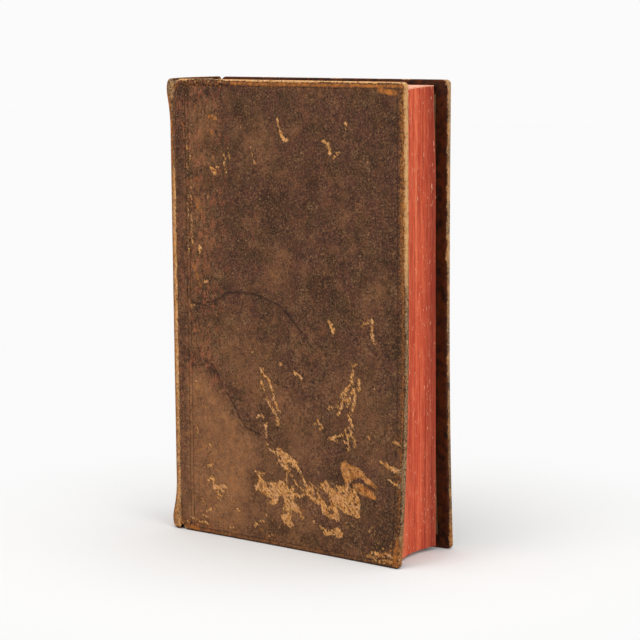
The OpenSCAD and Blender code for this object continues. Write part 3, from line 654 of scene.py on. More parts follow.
def spine_skin(material):
    """Leather of the spine: the outline across, carried along a closed way up the outer wall,
    over the head cap, down the inner wall and round the tail cap."""
    base_x, base_y, along, whole = spine_profile()
    dx, dy = np.gradient(base_x), np.gradient(base_y)
    length = np.hypot(dx, dy)
    in_x, in_y = dy / length, -dx / length
    from_end = np.minimum(along, whole - along)
    middle = 1 - np.clip(np.abs(2 * along / whole - 1), 0, 1) ** 4
    lip = SPINE_T + (CAP_W - SPINE_T) * middle * smooth(from_end, 2.5, 6)
    low = 2.4 * (1 - smooth(from_end, 0.3, 2.2))

    rim = np.array([0, 0.05, 0.15, 0.35, 0.6, 0.9, 1.3, 1.8, 2.4, 3.0, 3.6])
    outer = np.concatenate((rim, np.linspace(4.2, COVER_H - 4.2, 272), COVER_H - rim[::-1]))
    inward = np.linspace(0, 1, 7)[1:]
    # The way's parts: heights, depth as a share of the lip, and depth as a share of the wall
    way = (
        (outer, 0, 0), (np.full(6, COVER_H), inward, 0), ([COVER_H - 0.3, COVER_H - 0.62], 1, 0),
        ([COVER_H - 0.68], 0, 1), (np.linspace(COVER_H - 6, 6, 24), 0, 1), ([0.68], 0, 1),
        ([0.62, 0.3], 1, 0), (np.zeros(5), inward[::-1][:5], 0),
    )
    height, lip_share, wall_share = (
        np.concatenate([np.broadcast_to(part[k], np.shape(part[0])) for part in way])
        for k in range(3)
    )
    number = np.arange(len(height))
    z = low[:, None] + height[None, :] / COVER_H * (COVER_H - 2 * low[:, None])
    u = along[:, None] + 0 * z
    depth = lip[:, None] * lip_share[None, :] + SPINE_T * wall_share[None, :]
    out = cap_out(height)[None, :] * smooth(from_end, 0.2, 2.2)[:, None]
    swell = 0.07 * waves(u, z, 26, 31) + 0.03 * waves(u, z, 5, 32)
    swell = swell * smooth(from_end, 2.5, 8)[:, None] * (number < len(outer))
    x = base_x[:, None] - out + in_x[:, None] * (depth - swell)
    y = base_y[:, None] + in_y[:, None] * (depth - swell)

    # Worn beside the joint, least below the head cap, and round both caps
    sound = 1.3 * (smooth(z, 158, 166) - smooth(z, 186, 195))
    worn_joint = 1.6 - np.abs(from_end - 1.3)[:, None] * 1.1 - sound + 0.35 * waves(u, z, 7, 36)
    worn_cap = 1.5 - np.minimum(z, COVER_H - z) + 0.8 * waves(u, z, 9, 33)
    at_joint = smooth(from_end, 1.0, 1.8)[:, None] * (1 - smooth(from_end, 3, 5))[:, None]
    fields = {
        "wear": np.maximum(worn_joint, worn_cap),
        "rub": np.maximum(at_joint, 0.8 * smooth(-z, -18, -6)),
        "soil": 0 * z, "stain": smooth(waves(u, z, 22, 34), 0.6, 2.0),
        "warm": 0.5 + 0.4 * waves(u, z, 30, 35), "joint": 0 * z,
        "inside": (number > len(outer) + 6)[None, :] + 0 * z,
        # The crest colour also lightens the lower spine's bare leather, partly as a painted
        # highlight
        "crest": 0.5 * smooth(-z, -164, -150), "strip": 0.6 + 0 * z,
        "grime": 0.9 * smooth(z, 156, 168),
    }
    piece = make_piece(
        "spine_skin", place(x, y, z), tube_faces(x.shape), [material],
        {key: value.ravel() for key, value in fields.items()},
    )
    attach(piece, "root")
    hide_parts("spine_leather")
    return piece


# ---- leaves ----

def leaves(sizes, red, paper):
    """The text block as a lattice: across the leaves, along each leaf from spine to fore-edge,
    and up. Leaves splay at the shoulders, end on the arc of the back and in the hollow of the
    fore-edge, stand unevenly there and at head and tail, and sag towards the front corner."""
    t = np.linspace(-1, 1, LEAF_COUNT)
    turn = np.radians((0, 30, 60, 90))
    splay_y = SHOULDER_Y - TEXT_T / 2
    shoulder = SHOULDER_FILLET / splay_y
    # Along a leaf: its end at the back, the shoulder with its rounded foot, and the flat
    xs = np.concatenate((
        [0, 0.5, SHOULDER_X - 0.04, SHOULDER_X], SHOULDER_X + SHOULDER_FILLET * (1 - np.cos(turn)),
        [6, 14, 30, 52, 74, 94, 107, 113, 0],
    ))
    splay = np.concatenate(([1, 1, 1, 0.94], shoulder * (1 - np.sin(turn)), np.zeros(9)))
    z = np.linspace(0, 1, 67)
    (a, b, c), cells = box_surface((len(t), len(xs), len(z)))
    at, up = t[a], z[c]

    draw = np.random.default_rng(41)
    gathering = draw.uniform(-1, 1, 30)[((at + 1) / 2 * GATHERINGS).astype(int)]
    leaf = draw.uniform(-1, 1, LEAF_COUNT)[a]
    three = np.repeat(draw.uniform(-1, 1, 130), 3)[a]
    fore = sizes.leaf_relief / MM * (0.55 * gathering + 0.5 * three + 0.4 * leaf)
    fore = fore + 0.1 * waves(at * 14, up * 30, 9, 42)
    calm = smooth(1 - np.abs(at), 0, 0.04)
    ends = 0.4 * sizes.leaf_relief / MM * (0.6 * gathering + 0.5 * three + 0.3 * leaf) * calm
    ends = np.abs(ends) * smooth(xs[b], 3, 6)

    y = at * (TEXT_T / 2 + splay_y * splay[b])
    hollow_r = ((TEXT_T / 2) ** 2 + FORE_HOLLOW ** 2) / (2 * FORE_HOLLOW)
    x_low = ROUND_X - np.sqrt(TEXT_R ** 2 - (at * SHOULDER_Y) ** 2)
    x_high = TEXT_FORE_X - FORE_HOLLOW + hollow_r - np.sqrt(hollow_r ** 2 - (at * TEXT_T / 2) ** 2)
    x = np.choose(np.minimum(b, 2), (x_low, 0.5 * x_low + 0.5 * (SHOULDER_X - 0.04), xs[b]))
    x_high = x_high - BACK_DRAW * smooth(up, 0.8, 1) * smooth(at, 0.3, 1)
    x = np.where(b == len(xs) - 1, x_high + fore * calm, x)
    sag = smooth(x, 50, 118) * ((1 - at) / 2) ** 1.5
    low = TEXT_LOW + ends - TAIL_SAG * sag
    high = TEXT_HIGH - ends - HEAD_SAG * sag
    height = low + up * (high - low)
    sides = (a[cells] == 0).all(1) | (a[cells] == len(t) - 1).all(1)
    fields = {"across": at, "under": high - height}
    piece = make_piece(
        "leaves", place(x, y, height), [cells], [red, paper], fields, sides.astype(int), sharp=60,
    )
    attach(piece, "root")
    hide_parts("text_block")
    return piece


def endband(name, node, centre_z, radius, sizes, material):
    """Thread wound aslant round a core: a tube along the arc of the back, whose radius swells
    once for each turn of the thread, closed at both ends."""
    reach_r = TEXT_R - 1.5 * radius
    full = math.asin(ENDBAND_REACH / reach_r)
    pitch = sizes.thread_pitch / MM
    turns = round(2 * full * reach_r / pitch)
    a = np.linspace(-full, full, turns * 6 + 1)[:, None]
    g = np.linspace(0, math.tau, 19)[None, :-1]
    phase = (a + full) / (2 * full) * turns * math.tau + g
    r = radius * (0.9 + 0.1 * np.abs(np.cos(phase / 2)))
    reach = reach_r + r * np.cos(g)
    x, y, z = ROUND_X - reach * np.cos(a), reach * np.sin(a), centre_z + r * np.sin(g)
    turn = {"turn": (phase / math.tau).ravel()}
    piece = make_piece(name, place(x, y, z), tube_faces(x.shape), [material], turn, sharp=80)
    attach(piece, "root")
    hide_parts(node)
    return piece


def joint_paper(side, material):
    """Endpaper through the joint: down the shoulder of the leaves, round a fold behind the
    leather, up the end of the board and onto the pastedown, as a sheet of even thickness that
    thins to both ends."""
    sign = -1 if side == "front" else 1
    bend = np.radians(np.linspace(0, 180, 13)[1:-1])
    board_y = OUTER_Y - INNER_Q
    heights = np.array((4.2, 6, 8, 10, 12, 15, 60, 100, 140, 185, 188, 190, 192, 194, 195.8))
    pared = PARED_T + SEAT_GAP
    inward = (np.minimum(heights, COVER_H - heights) - EDGE_ROUND) / (TURN_IN - EDGE_ROUND)
    over = LEATHER_T + (pared - LEATHER_T) * np.minimum(inward, 1) + SEAT_GAP + PASTEDOWN_T + 0.04

    way_x = np.concatenate((
        [2.6] * 3, FOLD_X - FOLD_R * np.cos(bend),
        [2.92, 2.92, 2.93, 3.05, 3.3, 3.7, 4.4, 5.2, 6.2],
    ))
    way_y = np.concatenate((
        [14.75, 15.4, 16.0], FOLD_Y + FOLD_R * np.sin(bend), [16.0, 15.4] + [board_y] * 7,
    ))
    rise = np.concatenate((np.zeros(len(way_x) - 7), [0.3, 0.75, 1, 1, 1, 1, 1]))
    y = way_y[:, None] - rise[:, None] * over[None, :]
    x = way_x[:, None] + 0 * y
    dx, dy = np.gradient(x, axis=0), np.gradient(y, axis=0)
    number = np.arange(len(way_x))
    taper = np.minimum(1, np.minimum(number, number[::-1]) + 0.3)[:, None]
    half = JOINT_PAPER_T / 2 * taper / np.hypot(dx, dy)
    (a, b, c), cells = box_surface((len(way_x), 2, len(heights)))
    face = np.where(b == 0, -1, 1)
    at_x, at_y = x[a, c] - face * (dy * half)[a, c], y[a, c] + face * (dx * half)[a, c]
    points = place(at_x, sign * at_y, heights[c])
    piece = make_piece(f"{side}_joint_paper", points, [cells], [material], sharp=60)
    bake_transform(piece)
    return piece


# ---- finishes ----

class Value:
    """A number socket that takes part in sums: each operator adds one Math node."""

    def __init__(self, nodes, socket):
        self.nodes, self.socket = nodes, socket

    def _math(self, operation, *others):
        node = self.nodes.node("ShaderNodeMath", {"operation": operation}, dict(enumerate(others)))
        return Value(self.nodes, node.outputs[0])

    def __add__(self, other): return self._math("ADD", self, other)
    def __radd__(self, other): return self._math("ADD", other, self)
    def __sub__(self, other): return self._math("SUBTRACT", self, other)
    def __rsub__(self, other): return self._math("SUBTRACT", other, self)
    def __mul__(self, other): return self._math("MULTIPLY", self, other)
    def __rmul__(self, other): return self._math("MULTIPLY", other, self)
    def __truediv__(self, other): return self._math("DIVIDE", self, other)
    def __pow__(self, other): return self._math("POWER", self, other)
    def __abs__(self): return self._math("ABSOLUTE", self)
    def greatest(self, other): return self._math("MAXIMUM", self, other)
    def least(self, other): return self._math("MINIMUM", self, other)
    def wave(self): return self._math("SINE", self)

    def step(self, low, high):
        """0 below low and 1 above high, with an S-shaped change between them."""
        node = self.nodes.node(
            "ShaderNodeMapRange", {"interpolation_type": "SMOOTHSTEP"},
            {"Value": self, "From Min": low, "From Max": high, "To Min": 0.0, "To Max": 1.0},
        )
        return Value(self.nodes, node.outputs[0])


class Nodes:
    """A node tree under construction, with one method for its nodes and short ones on it."""

    def __init__(self, tree):
        self.tree = tree

    def node(self, kind, settings=None, inputs=None):
        """A node of this kind, with its settings first and then its sockets' values or links."""
        node = self.tree.nodes.new(kind)
        for key, value in (settings or {}).items():
            setattr(node, key, value)
        for key, value in (inputs or {}).items():
            socket = value.socket if isinstance(value, Value) else value
            if isinstance(socket, bpy.types.NodeSocket):
                self.tree.links.new(socket, node.inputs[key])
            else:
                node.inputs[key].default_value = socket
        return node

    def vector(self, operation, inputs):
        """One Vector Math node on links or values."""
        return self.node("ShaderNodeVectorMath", {"operation": operation}, inputs).outputs[0]

    def mix(self, mask, first, second):
        """Colour from first to second by a mask."""
        ends = [c if isinstance(c, bpy.types.NodeSocket) else (*c, 1.0) for c in (first, second)]
        inputs = {0: mask, 6: ends[0], 7: ends[1]}
        return self.node("ShaderNodeMix", {"data_type": "RGBA"}, inputs).outputs[2]

    def layers(self, colour, *layers):
        """Colour under layers that are laid on in turn, each a mask and its colour."""
        for mask, over in layers:
            colour = self.mix(mask, colour, over)
        return colour

    def rays(self, *kinds):
        """1 for rays of these kinds, and 0 for others."""
        path = self.node("ShaderNodeLightPath").outputs
        first, *others = (Value(self, path[kind]) for kind in kinds)
        for other in others:
            first = first.greatest(other)
        return first


class Finish(Nodes):
    """A material under construction."""

    def __init__(self, name):
        self.material = bpy.data.materials.new(name)
        self.material.use_nodes = True
        super().__init__(self.material.node_tree)
        self.tree.nodes.clear()
        coordinates = self.node("ShaderNodeTexCoord").outputs["Object"]
        self.place = self.vector("SCALE", {0: coordinates, "Scale": 1 / MM})

    def field(self, name):
        """A number that the mesh carries at its points."""
        node = self.node("ShaderNodeAttribute", {"attribute_name": name})
        return Value(self, node.outputs["Fac"])

    def part(self, axis):
        """The place along one axis, in millimetres."""
        return Value(self, self.node("ShaderNodeSeparateXYZ", None, {0: self.place}).outputs[axis])

    def turned(self, degrees):
        """The place turned about the y axis, for a pattern that runs aslant over a cover."""
        inputs = {"Vector": self.place, "Rotation": (0.0, math.radians(degrees), 0.0)}
        return self.node("ShaderNodeMapping", None, inputs).outputs[0]

    def noise(self, size, seed, detail=3.0, rough=0.5, place=None, bend=0.0):
        """Noise from 0 to 1 whose lumps are this many millimetres wide, in all or each axis."""
        sizes = size if isinstance(size, tuple) else (size,) * 3
        shift = (7.31 * seed, 3.17 * seed, 5.23 * seed)
        scale = tuple(1 / s for s in sizes)
        at = self.vector("MULTIPLY_ADD", {0: place or self.place, 1: scale, 2: shift})
        node = self.node("ShaderNodeTexNoise", {"noise_dimensions": "3D"}, {
            "Vector": at, "Scale": 1.0, "Detail": detail, "Roughness": rough, "Distortion": bend,
        })
        return Value(self, node.outputs[0])

    def finish(self, colour, roughness, height=None, relief=0.0001, **fixed):
        """The surface itself: what varies is linked, and the rest is set on its sockets."""
        inputs = {"Base Color": colour, "Roughness": roughness}
        if height is not None:
            inputs["Normal"] = self.node("ShaderNodeBump", None, {
                "Strength": 1.0, "Distance": relief, "Height": height,
            }).outputs[0]
        inputs.update({key.replace("_", " "): value for key, value in fixed.items()})
        surface = self.node("ShaderNodeBsdfPrincipled", None, inputs)
        output = self.node("ShaderNodeOutputMaterial", None, {"Surface": surface.outputs[0]})
        output.is_active_output = True
        return self.material


def leather_finish(colours):
    """Old calf: mottled brown with fine light curls and dark pits, worn to tan suede where the
    wear field is above 0 and to orange-brown where it is rubbed. Painted shade darkens it along
    the tail where it meets the floor, and the crest colour paints a highlight along the worn
    edges, most at the head."""
    f = Finish("old_calf")
    wear, rub, soil, stain = (f.field(name) for name in ("wear", "rub", "soil", "stain"))
    warm, joint, inside, crest = (f.field(name) for name in ("warm", "joint", "inside", "crest"))
    strip, grime = f.field("strip"), f.field("grime")
    z, slant = f.part(2), f.turned(40)

    # The brown itself, from its clouds down to its grain. Near the spine it is more broken
    cloud = f.noise(16, 1, 4, 0.6)
    blotch = f.noise(5, 2, 5, 0.62)
    hue = f.noise(9, 3, 3, 0.55)
    mottle = f.noise(1.9, 4, 4, 0.65)
    grain = f.noise(0.8, 5, 3, 0.65)
    near_spine = (f.part(0) + MID_X).step(36, 14)
    smear = f.noise((2, 2, 4), 27, 4, 0.65).step(0.47, 0.62)
    broken = f.noise((1.5, 2, 2.8), 32, 4, 0.7).step(0.52, 0.4)
    thin = f.noise(6, 42, 5, 0.65).step(0.42, 0.6)
    pale = f.mix(thin * 0.55, colours.warm_brown, colours.light_brown)
    bumpy = 0.55 + 0.45 * f.noise(6, 28, 4, 0.6).step(0.4, 0.62)
    base = f.layers(
        f.mix(hue.step(0.38, 0.62), colours.purple_brown, colours.olive_brown),
        ((blotch * 0.6 + cloud * 0.4).step(0.49, 0.66) * 0.8, colours.light_brown),
        (smear * (0.15 + 0.85 * near_spine), colours.red_brown),
        ((warm * (0.3 + 1.2 * f.noise(8, 6, 5, 0.65))).least(1.0), pale),
        (warm * f.noise(2.4, 41, 5, 0.72).step(0.5, 0.68) * 0.6, colours.tan_dark),
        ((blotch * 0.5 + mottle * 0.5).step(0.5, 0.38) * (0.65 - 0.45 * warm), colours.dark_brown),
        (near_spine * (1 - 0.85 * warm) * broken * 0.9, colours.crack_and_shade),
        (stain * f.noise(6, 7, 4, 0.6).step(0.3, 0.62) * 0.6, colours.dark_brown),
        (z.step(10, 1) * f.noise(1.6, 31, 4, 0.7).step(0.5, 0.64) * 0.4, colours.tan_dark),
        (joint * 0.4, colours.purple_brown),
        (joint * f.noise((0.7, 4, 9), 8, 3).step(0.54, 0.68) * 0.6, colours.light_brown),
        (grain.step(0.5, 0.66) * bumpy * 0.62, colours.glaze),
        (grain.step(0.5, 0.34) * bumpy * (0.85 - 0.45 * warm), colours.dark_brown),
    )

    # Light curls, which are thin contour lines of a noise in clusters, and veins, pits and cracks
    curls = abs(f.noise(1.3, 9, 3, 0.6, bend=1.0) - 0.5).step(0.04, 0.01)
    curls = curls * f.noise(8, 10, 4, 0.65).step(0.5, 0.64) * f.noise(1.3, 11, 2).step(0.42, 0.56)
    speck = f.noise(0.9, 12, 2, 0.5).step(0.64, 0.74) * f.noise(11, 13, 3).step(0.42, 0.62)
    vein = abs(f.noise(5, 34, 5, 0.7) - 0.5).step(0.02, 0.0) * f.noise(9, 35, 3).step(0.44, 0.56)
    pit = f.noise(1.1, 14, 2, 0.55).step(0.37, 0.27) * f.noise(9, 15, 3).step(0.4, 0.6)
    base = f.layers(
        base,
        (curls * 0.42, colours.fleck),
        (speck * 0.6, colours.fleck),
        (vein * (0.25 + 0.45 * near_spine), colours.crack_and_shade),
        (pit * (0.6 - 0.5 * warm), colours.crack_and_shade),
        (soil * (0.4 + 0.8 * f.noise(2.2, 16, 3)), colours.crack_and_shade),
    )

    # Rubbed leather, and what lies beside the worn strips, whose border is ragged
    rubbed = (rub * 1.25 + f.noise(1.5, 17, 4, 0.75) - 0.95).step(0.08, 0.5)
    rust = f.mix(f.noise(1.8, 18, 4, 0.7).step(0.38, 0.64), colours.rust, colours.orange)
    gold = f.mix(f.noise(1.5, 40, 2).step(0.44, 0.56), rust, colours.tan_dark)
    teeth = (f.noise((0.45, 0.45, 2.0), 19, 3, 0.7, place=slant) - 0.5) * 4.2
    teeth = teeth + (f.noise(2.2, 20, 3, 0.6) - 0.5) * 1.7
    ragged = wear + teeth * (1 - 0.7 * strip) + (grain - 0.5) * (1.1 + 1.0 * strip)
    beside = strip * ragged.step(-3.4, -0.5)
    fringe = strip.step(0.6, 1) * ragged.step(-2.2, -0.3) * z.step(92, 130) * z.step(199, 194)
    base = f.layers(
        base,
        (beside * f.noise(1.1, 33, 3, 0.7).step(0.48, 0.6) * 0.65, gold),
        (fringe * f.noise(1.2, 45, 4, 0.7).step(0.4, 0.54) * 0.8, gold),
        (beside * f.noise(1.2, 37, 3, 0.7).step(0.5, 0.4) * 0.7, colours.crack_and_shade),
        (rubbed * 0.85, rust),
    )

    # Bare leather of the strips and patches, with islands of sound leather in the patches
    island = f.noise(1.5, 29, 3, 0.65).step(0.6, 0.68) * ragged.step(2.6, 1.2)
    worn = ragged.step(-0.1, 0.28) * (1 - island * 0.8)
    tan = f.noise(1.2, 21, 4, 0.75).step(0.38, 0.6).greatest(0.6 * strip)
    scored = f.noise((0.7, 0.7, 1.7), 24, 3, 0.7, place=slant).step(0.49, 0.37)
    inner = strip * ragged.step(1.7, 0.3) * z.step(200, 196.5)
    ticks = strip * z.step(80, 45) * f.noise((1, 1, 0.9), 36, 2, 0.6).step(0.52, 0.44)
    bare = f.layers(
        f.mix(tan, colours.tan_dark, colours.tan),
        (f.noise(3, 22, 3).step(0.5, 0.66) * 0.5, colours.tan_pink),
        (rub * f.noise(1.9, 23, 4).step(0.25, 0.5) * 0.85, rust),
        # Crest: pale worn leather with a painted highlight along the rounded edges, strongest at
        # the head
        (crest * f.noise((1.6, 1.6, 3), 30, 4, 0.7).step(0.36, 0.6) * 0.75, colours.crest),
        (scored * (0.85 - 0.65 * strip), colours.crack_and_shade),
        (inner * f.noise(1.4, 43, 4, 0.7).step(0.4, 0.56) * 0.75, gold),
        (inner * f.noise(1.0, 44, 3, 0.7).step(0.5, 0.4) * 0.75, colours.crack_and_shade),
        (ticks * 0.55, colours.crack_and_shade),
        (grime * f.noise((1.2, 1.2, 3), 38, 4, 0.7).step(0.3, 0.6) * 0.85, colours.grime),
        (grime * f.noise(0.8, 39, 3, 0.7).step(0.53, 0.43) * 0.75, colours.crack_and_shade),
    )
    turned = f.mix(f.noise(3, 25, 5, 0.6).step(0.35, 0.7), colours.turned_in, colours.crack_and_shade)
    base = f.layers(
        base,
        (worn, bare),
        # Painted shade: the leather darkens in the last millimetre above the floor, in the crack
        # colour
        (z.step(1.3, 0.4) * 0.8, colours.crack_and_shade),
        (ragged.step(-0.5, -0.1) * (1 - worn) * 0.3, colours.crack_and_shade),
        (inside * (1 - worn), turned),
    )

    rough = 0.52 + 0.16 * mottle + 0.2 * worn + 0.08 * stain
    height = grain * 0.7 + mottle * 0.8 + curls * 0.3 - pit * 0.8 - soil * 1.2 - worn * 1.1
    height = height - rubbed * 0.3
    return f.finish(base, rough, height, 0.00022, Specular_IOR_Level=0.1)


def red_edge_finish(colours):
    """Red-stained leaf edges: streaks that run along the leaves, pale where the stain has worn
    off and dark between the gatherings, with dust at the head. Painted light and shade make them
    paler towards the front leaves and darker towards the back ones."""
    f = Finish("red_leaf_edges")
    across, top = f.field("across"), f.field("under").step(0.7, 0.1)
    broad = f.noise((4, 3.0, 34), 1, 4, 0.65)
    streak = f.noise((20, 0.75, 150), 2, 4, 0.75)
    fine = f.noise((1.5, 0.5, 9), 3, 4, 0.7)
    leaf = f.noise((30, 0.8, 4), 7, 5, 0.75)
    fleck = f.noise((1, 0.7, 2.2), 4, 3, 0.6).step(0.6, 0.68)
    fleck = fleck * f.noise((6, 3, 12), 5, 2).step(0.42, 0.56)
    base = f.layers(
        f.mix(broad.step(0.35, 0.65), colours.red_edge, colours.red_deep),
        (streak.step(0.53, 0.68) * 0.6, colours.red_pale),
        # Painted light: paler towards the front leaves
        (across.step(-0.2, -0.98) * 0.95, colours.red_pale),
        (streak.step(0.5, 0.36) * 0.85, colours.red_dark),
        (fine.step(0.52, 0.7) * 0.6, colours.red_pale),
        (fine.step(0.48, 0.3) * 0.6, colours.red_dark),
        # Painted shade: darker towards the back leaves
        (across.step(0.35, 0.98) * 0.6, colours.red_dark),
        (fleck * 0.7, colours.paper_fleck),
        (top * (0.65 + 0.6 * f.noise(5, 6, 4)), colours.dust),
        (top * leaf.step(0.5, 0.36) * 0.55, colours.red_dark),
        (top * f.noise((9, 5, 4), 8, 4, 0.65).step(0.5, 0.68) * 0.4, colours.paper_brown),
    )
    height = streak * (1 - top) + top * leaf + 0.6 * fine
    return f.finish(base, 0.62 + 0.2 * broad, height, 0.0002, Specular_IOR_Level=0.3)


def paper_finish(colours, name="aged_endpaper", burn_and_shade=True):
    """Aged rag paper: clouded cream with foxing, fibres, and the brown that turned-in leather
    leaves along the margins, darkened further there as painted shade beside the leaves."""
    f = Finish(name)
    cloud = f.noise(26, 1, 4, 0.6)
    fox = f.noise(3.2, 3, 2, 0.4).step(0.71, 0.79) * f.noise(20, 4, 2).step(0.42, 0.6)
    base = f.layers(
        f.mix(cloud.step(0.35, 0.68), colours.paper, colours.paper_aged),
        (f.noise(6, 2, 5, 0.65).step(0.58, 0.74) * 0.35, colours.paper_brown),
        (fox * 0.7, colours.foxing),
    )
    z = f.part(2)
    if burn_and_shade:
        # The margins darken partly from the turned-in leather's real browning and partly as painted
        # shade beside the leaves
        from_edge = (FORE_X - (f.part(0) + MID_X)).least(z.least(COVER_H - z))
        margin = from_edge + (f.noise(5, 5, 4) - 0.5) * 5.0
        base = f.layers(
            base,
            (margin.step(16.0, 9.0) * 0.85, colours.paper_brown),
            (margin.step(9.5, 5.0) * 0.75, colours.turned_in),
        )
    laid = (z * (math.tau / 1.1)).wave()
    height = f.noise((0.5, 0.5, 1.4), 6, 3, 0.6) + 0.12 * laid + 0.8 * f.noise(9, 7, 3)
    return f.finish(base, 0.82 + 0.1 * cloud, height, 0.00012, Specular_IOR_Level=0.25)


def board_finish(colours):
    """Pasteboard: grey-brown pulp in thin layers, with dark and light fibres."""
    f = Finish("pasteboard")
    layer = f.noise((6, 0.25, 6), 1, 3, 0.6)
    fibre = f.noise((0.35, 0.2, 0.9), 2, 3, 0.6)
    base = f.mix(layer.step(0.35, 0.65), colours.board, colours.board_dark)
    base = f.mix(fibre.step(0.6, 0.74) * 0.6, base, colours.paper)
    return f.finish(base, 0.85 + 0.1 * layer, layer + fibre, 0.0002, Specular_IOR_Level=0.25)


def cord_finish(colours):
    """Hemp: strands laid aslant, with stray light fibres."""
    f = Finish("hemp_cord")
    aslant = (f.part(1) + f.part(2) * 1.2 + f.part(0)) * (math.tau / 0.9)
    strand = (aslant + 3.0 * f.noise(1.5, 1, 2)).wave().step(-0.8, 0.6)
    base = f.layers(
        f.mix(strand, colours.cord_dark, colours.cord),
        (f.noise(0.4, 2, 3).step(0.6, 0.72) * 0.4, colours.paper),
    )
    return f.finish(base, 0.9 - 0.1 * strand, strand, 0.0003, Specular_IOR_Level=0.2)


def thread_finish(colours):
    """Linen thread: turns of two colours, with its twist showing as fine oblique lines."""
    f = Finish("band_thread")
    turn = f.field("turn")
    twist = ((turn * 9.0 + f.part(2) * 2.0) * math.tau).wave()
    pair = (turn * math.pi).wave().step(-0.15, 0.15)
    base = f.mix(pair, colours.thread, colours.thread_brown)
    base = f.mix(f.noise(1.8, 1, 4).step(0.45, 0.7) * 0.5, base, colours.cord_dark)
    return f.finish(base, 0.8 + 0.1 * f.noise(1.0, 2), twist, 0.0001, Specular_IOR_Level=0.25)


# ---- studio ----

FLOOR_WHITE = (0.96, 0.96, 0.96, 1.0)      # the floor far from the book
SKY_WHITE = (0.965, 0.965, 0.965)          # the background that the camera sees
SKY_GREY = (0.42, 0.42, 0.42)              # the soft light from all round
FLOOR_HALF, FLOOR_Z = 3.0, -0.00002        # half the floor's width and its height, in metres

# Soft boxes: place in metres, size in metres and power in watts
SOFT_BOXES = {
    "key": ((-0.5, -1.3, 0.75), 0.9, 10.0),
    "fill": ((1.5, -0.55, 0.5), 0.9, 9.8),
    "top": ((0.1, -0.05, 1.2), 1.2, 10.6),
}


def floor_finish(colours):
    """Pale studio floor that keeps the book's shadow, and fades into the white background with
    distance for camera, glossy and transmission rays."""
    f = Finish("studio_floor")
    x, y = f.part(0), f.part(1)
    away = ((x * x + y * y) ** 0.5 / 1000).step(0.04, 0.22)
    seen = f.rays("Is Camera Ray", "Is Glossy Ray", "Is Transmission Ray")
    base = f.mix(f.noise(60, 1, 3), colours.floor, tuple(0.99 * c for c in colours.floor))
    pale = f.node("ShaderNodeBsdfPrincipled", None, {
        "Base Color": base, "Roughness": 0.9, "Specular IOR Level": 0.0,
    })
    white = f.node("ShaderNodeEmission", None, {"Color": FLOOR_WHITE, "Strength": 1.0})
    both = f.node("ShaderNodeMixShader", None, {
        0: away * seen, 1: pale.outputs[0], 2: white.outputs[0],
    })
    f.node("ShaderNodeOutputMaterial", None, {"Surface": both.outputs[0]})
    return f.material


def soft_light(name, at, size, power):
    """A square soft box at a point in metres, turned towards the middle of the book."""
    lamp = bpy.data.lights.new(name, "AREA")
    lamp.shape, lamp.size, lamp.energy = "SQUARE", size, power
    light = add_object(name, lamp)
    light.location = at
    away = Vector(at) - Vector((0, 0, COVER_H / 2 * MM))
    light.rotation_euler = away.to_track_quat("Z", "Y").to_euler()


# The photograph's camera: angles in degrees, the lens in millimetres, and in metres the distance,
# the offsets of the aim across and up in the picture, and its x from the ridge of the joint
CAMERA = {
    "azimuth": 35.2606, "elevation": 8.2788, "roll": -0.4531, "distance": 0.918905,
    "lens": 119.891, "across": 0.0050088, "up": -0.0032877, "aim_x": 0.0609467,
}


def add_camera():
    """The camera at the photograph's viewing angle, aimed by offsets in its own picture plane."""
    azimuth, elevation, roll = (math.radians(CAMERA[k]) for k in ("azimuth", "elevation", "roll"))
    level = math.cos(elevation)
    back = Vector((math.sin(azimuth) * level, -math.cos(azimuth) * level, math.sin(elevation)))
    right = Vector((math.cos(azimuth), math.sin(azimuth), 0))
    up = back.cross(right)
    side = math.cos(roll) * right + math.sin(roll) * up
    top = math.cos(roll) * up - math.sin(roll) * right
    aim = Vector((CAMERA["aim_x"] - MID_X * MM, MID_Y * MM, COVER_H * MM / 2))
    aim += CAMERA["across"] * side + CAMERA["up"] * top
    data = bpy.data.cameras.new("camera")
    data.lens, data.sensor_width = CAMERA["lens"], 36.0
    camera = add_object("camera", data)
    turn = Matrix((side, top, back)).transposed().to_4x4()
    camera.matrix_world = Matrix.Translation(aim + back * CAMERA["distance"]) @ turn
    bpy.context.scene.camera = camera


# ---- settings, operators and panel ----

def colour_property(name, description, red, green, blue):
    """A setting for a colour, with its default as an sRGB tone."""
    return FloatVectorProperty(
        name=name, description=description, subtype="COLOR", size=3, min=0.0, max=1.0,
        default=tone(red, green, blue),
    )


def length_property(name, description, default, low=0.0, high=0.0005):
    """A setting for a length in metres."""
    return FloatProperty(
        name=name, description=description, default=default, min=low, max=high, unit="LENGTH",
        precision=5,
    )


class BookSizes(bpy.types.PropertyGroup):
    """Sizes of the fine relief."""
    fillet_depth: length_property(
        "Border Line Depth", "Depth of the pressed border lines in the leather", 0.00014)
    swell: length_property("Board Swell", "Height of the swell of the old boards", 0.00008)
    leaf_relief: length_property(
        "Leaf Relief", "How unevenly the leaves stand at the fore-edge", 0.00013)
    thread_pitch: length_property(
        "Thread Pitch", "Distance between the turns of the endband thread", 0.0007, 0.0003, 0.002)


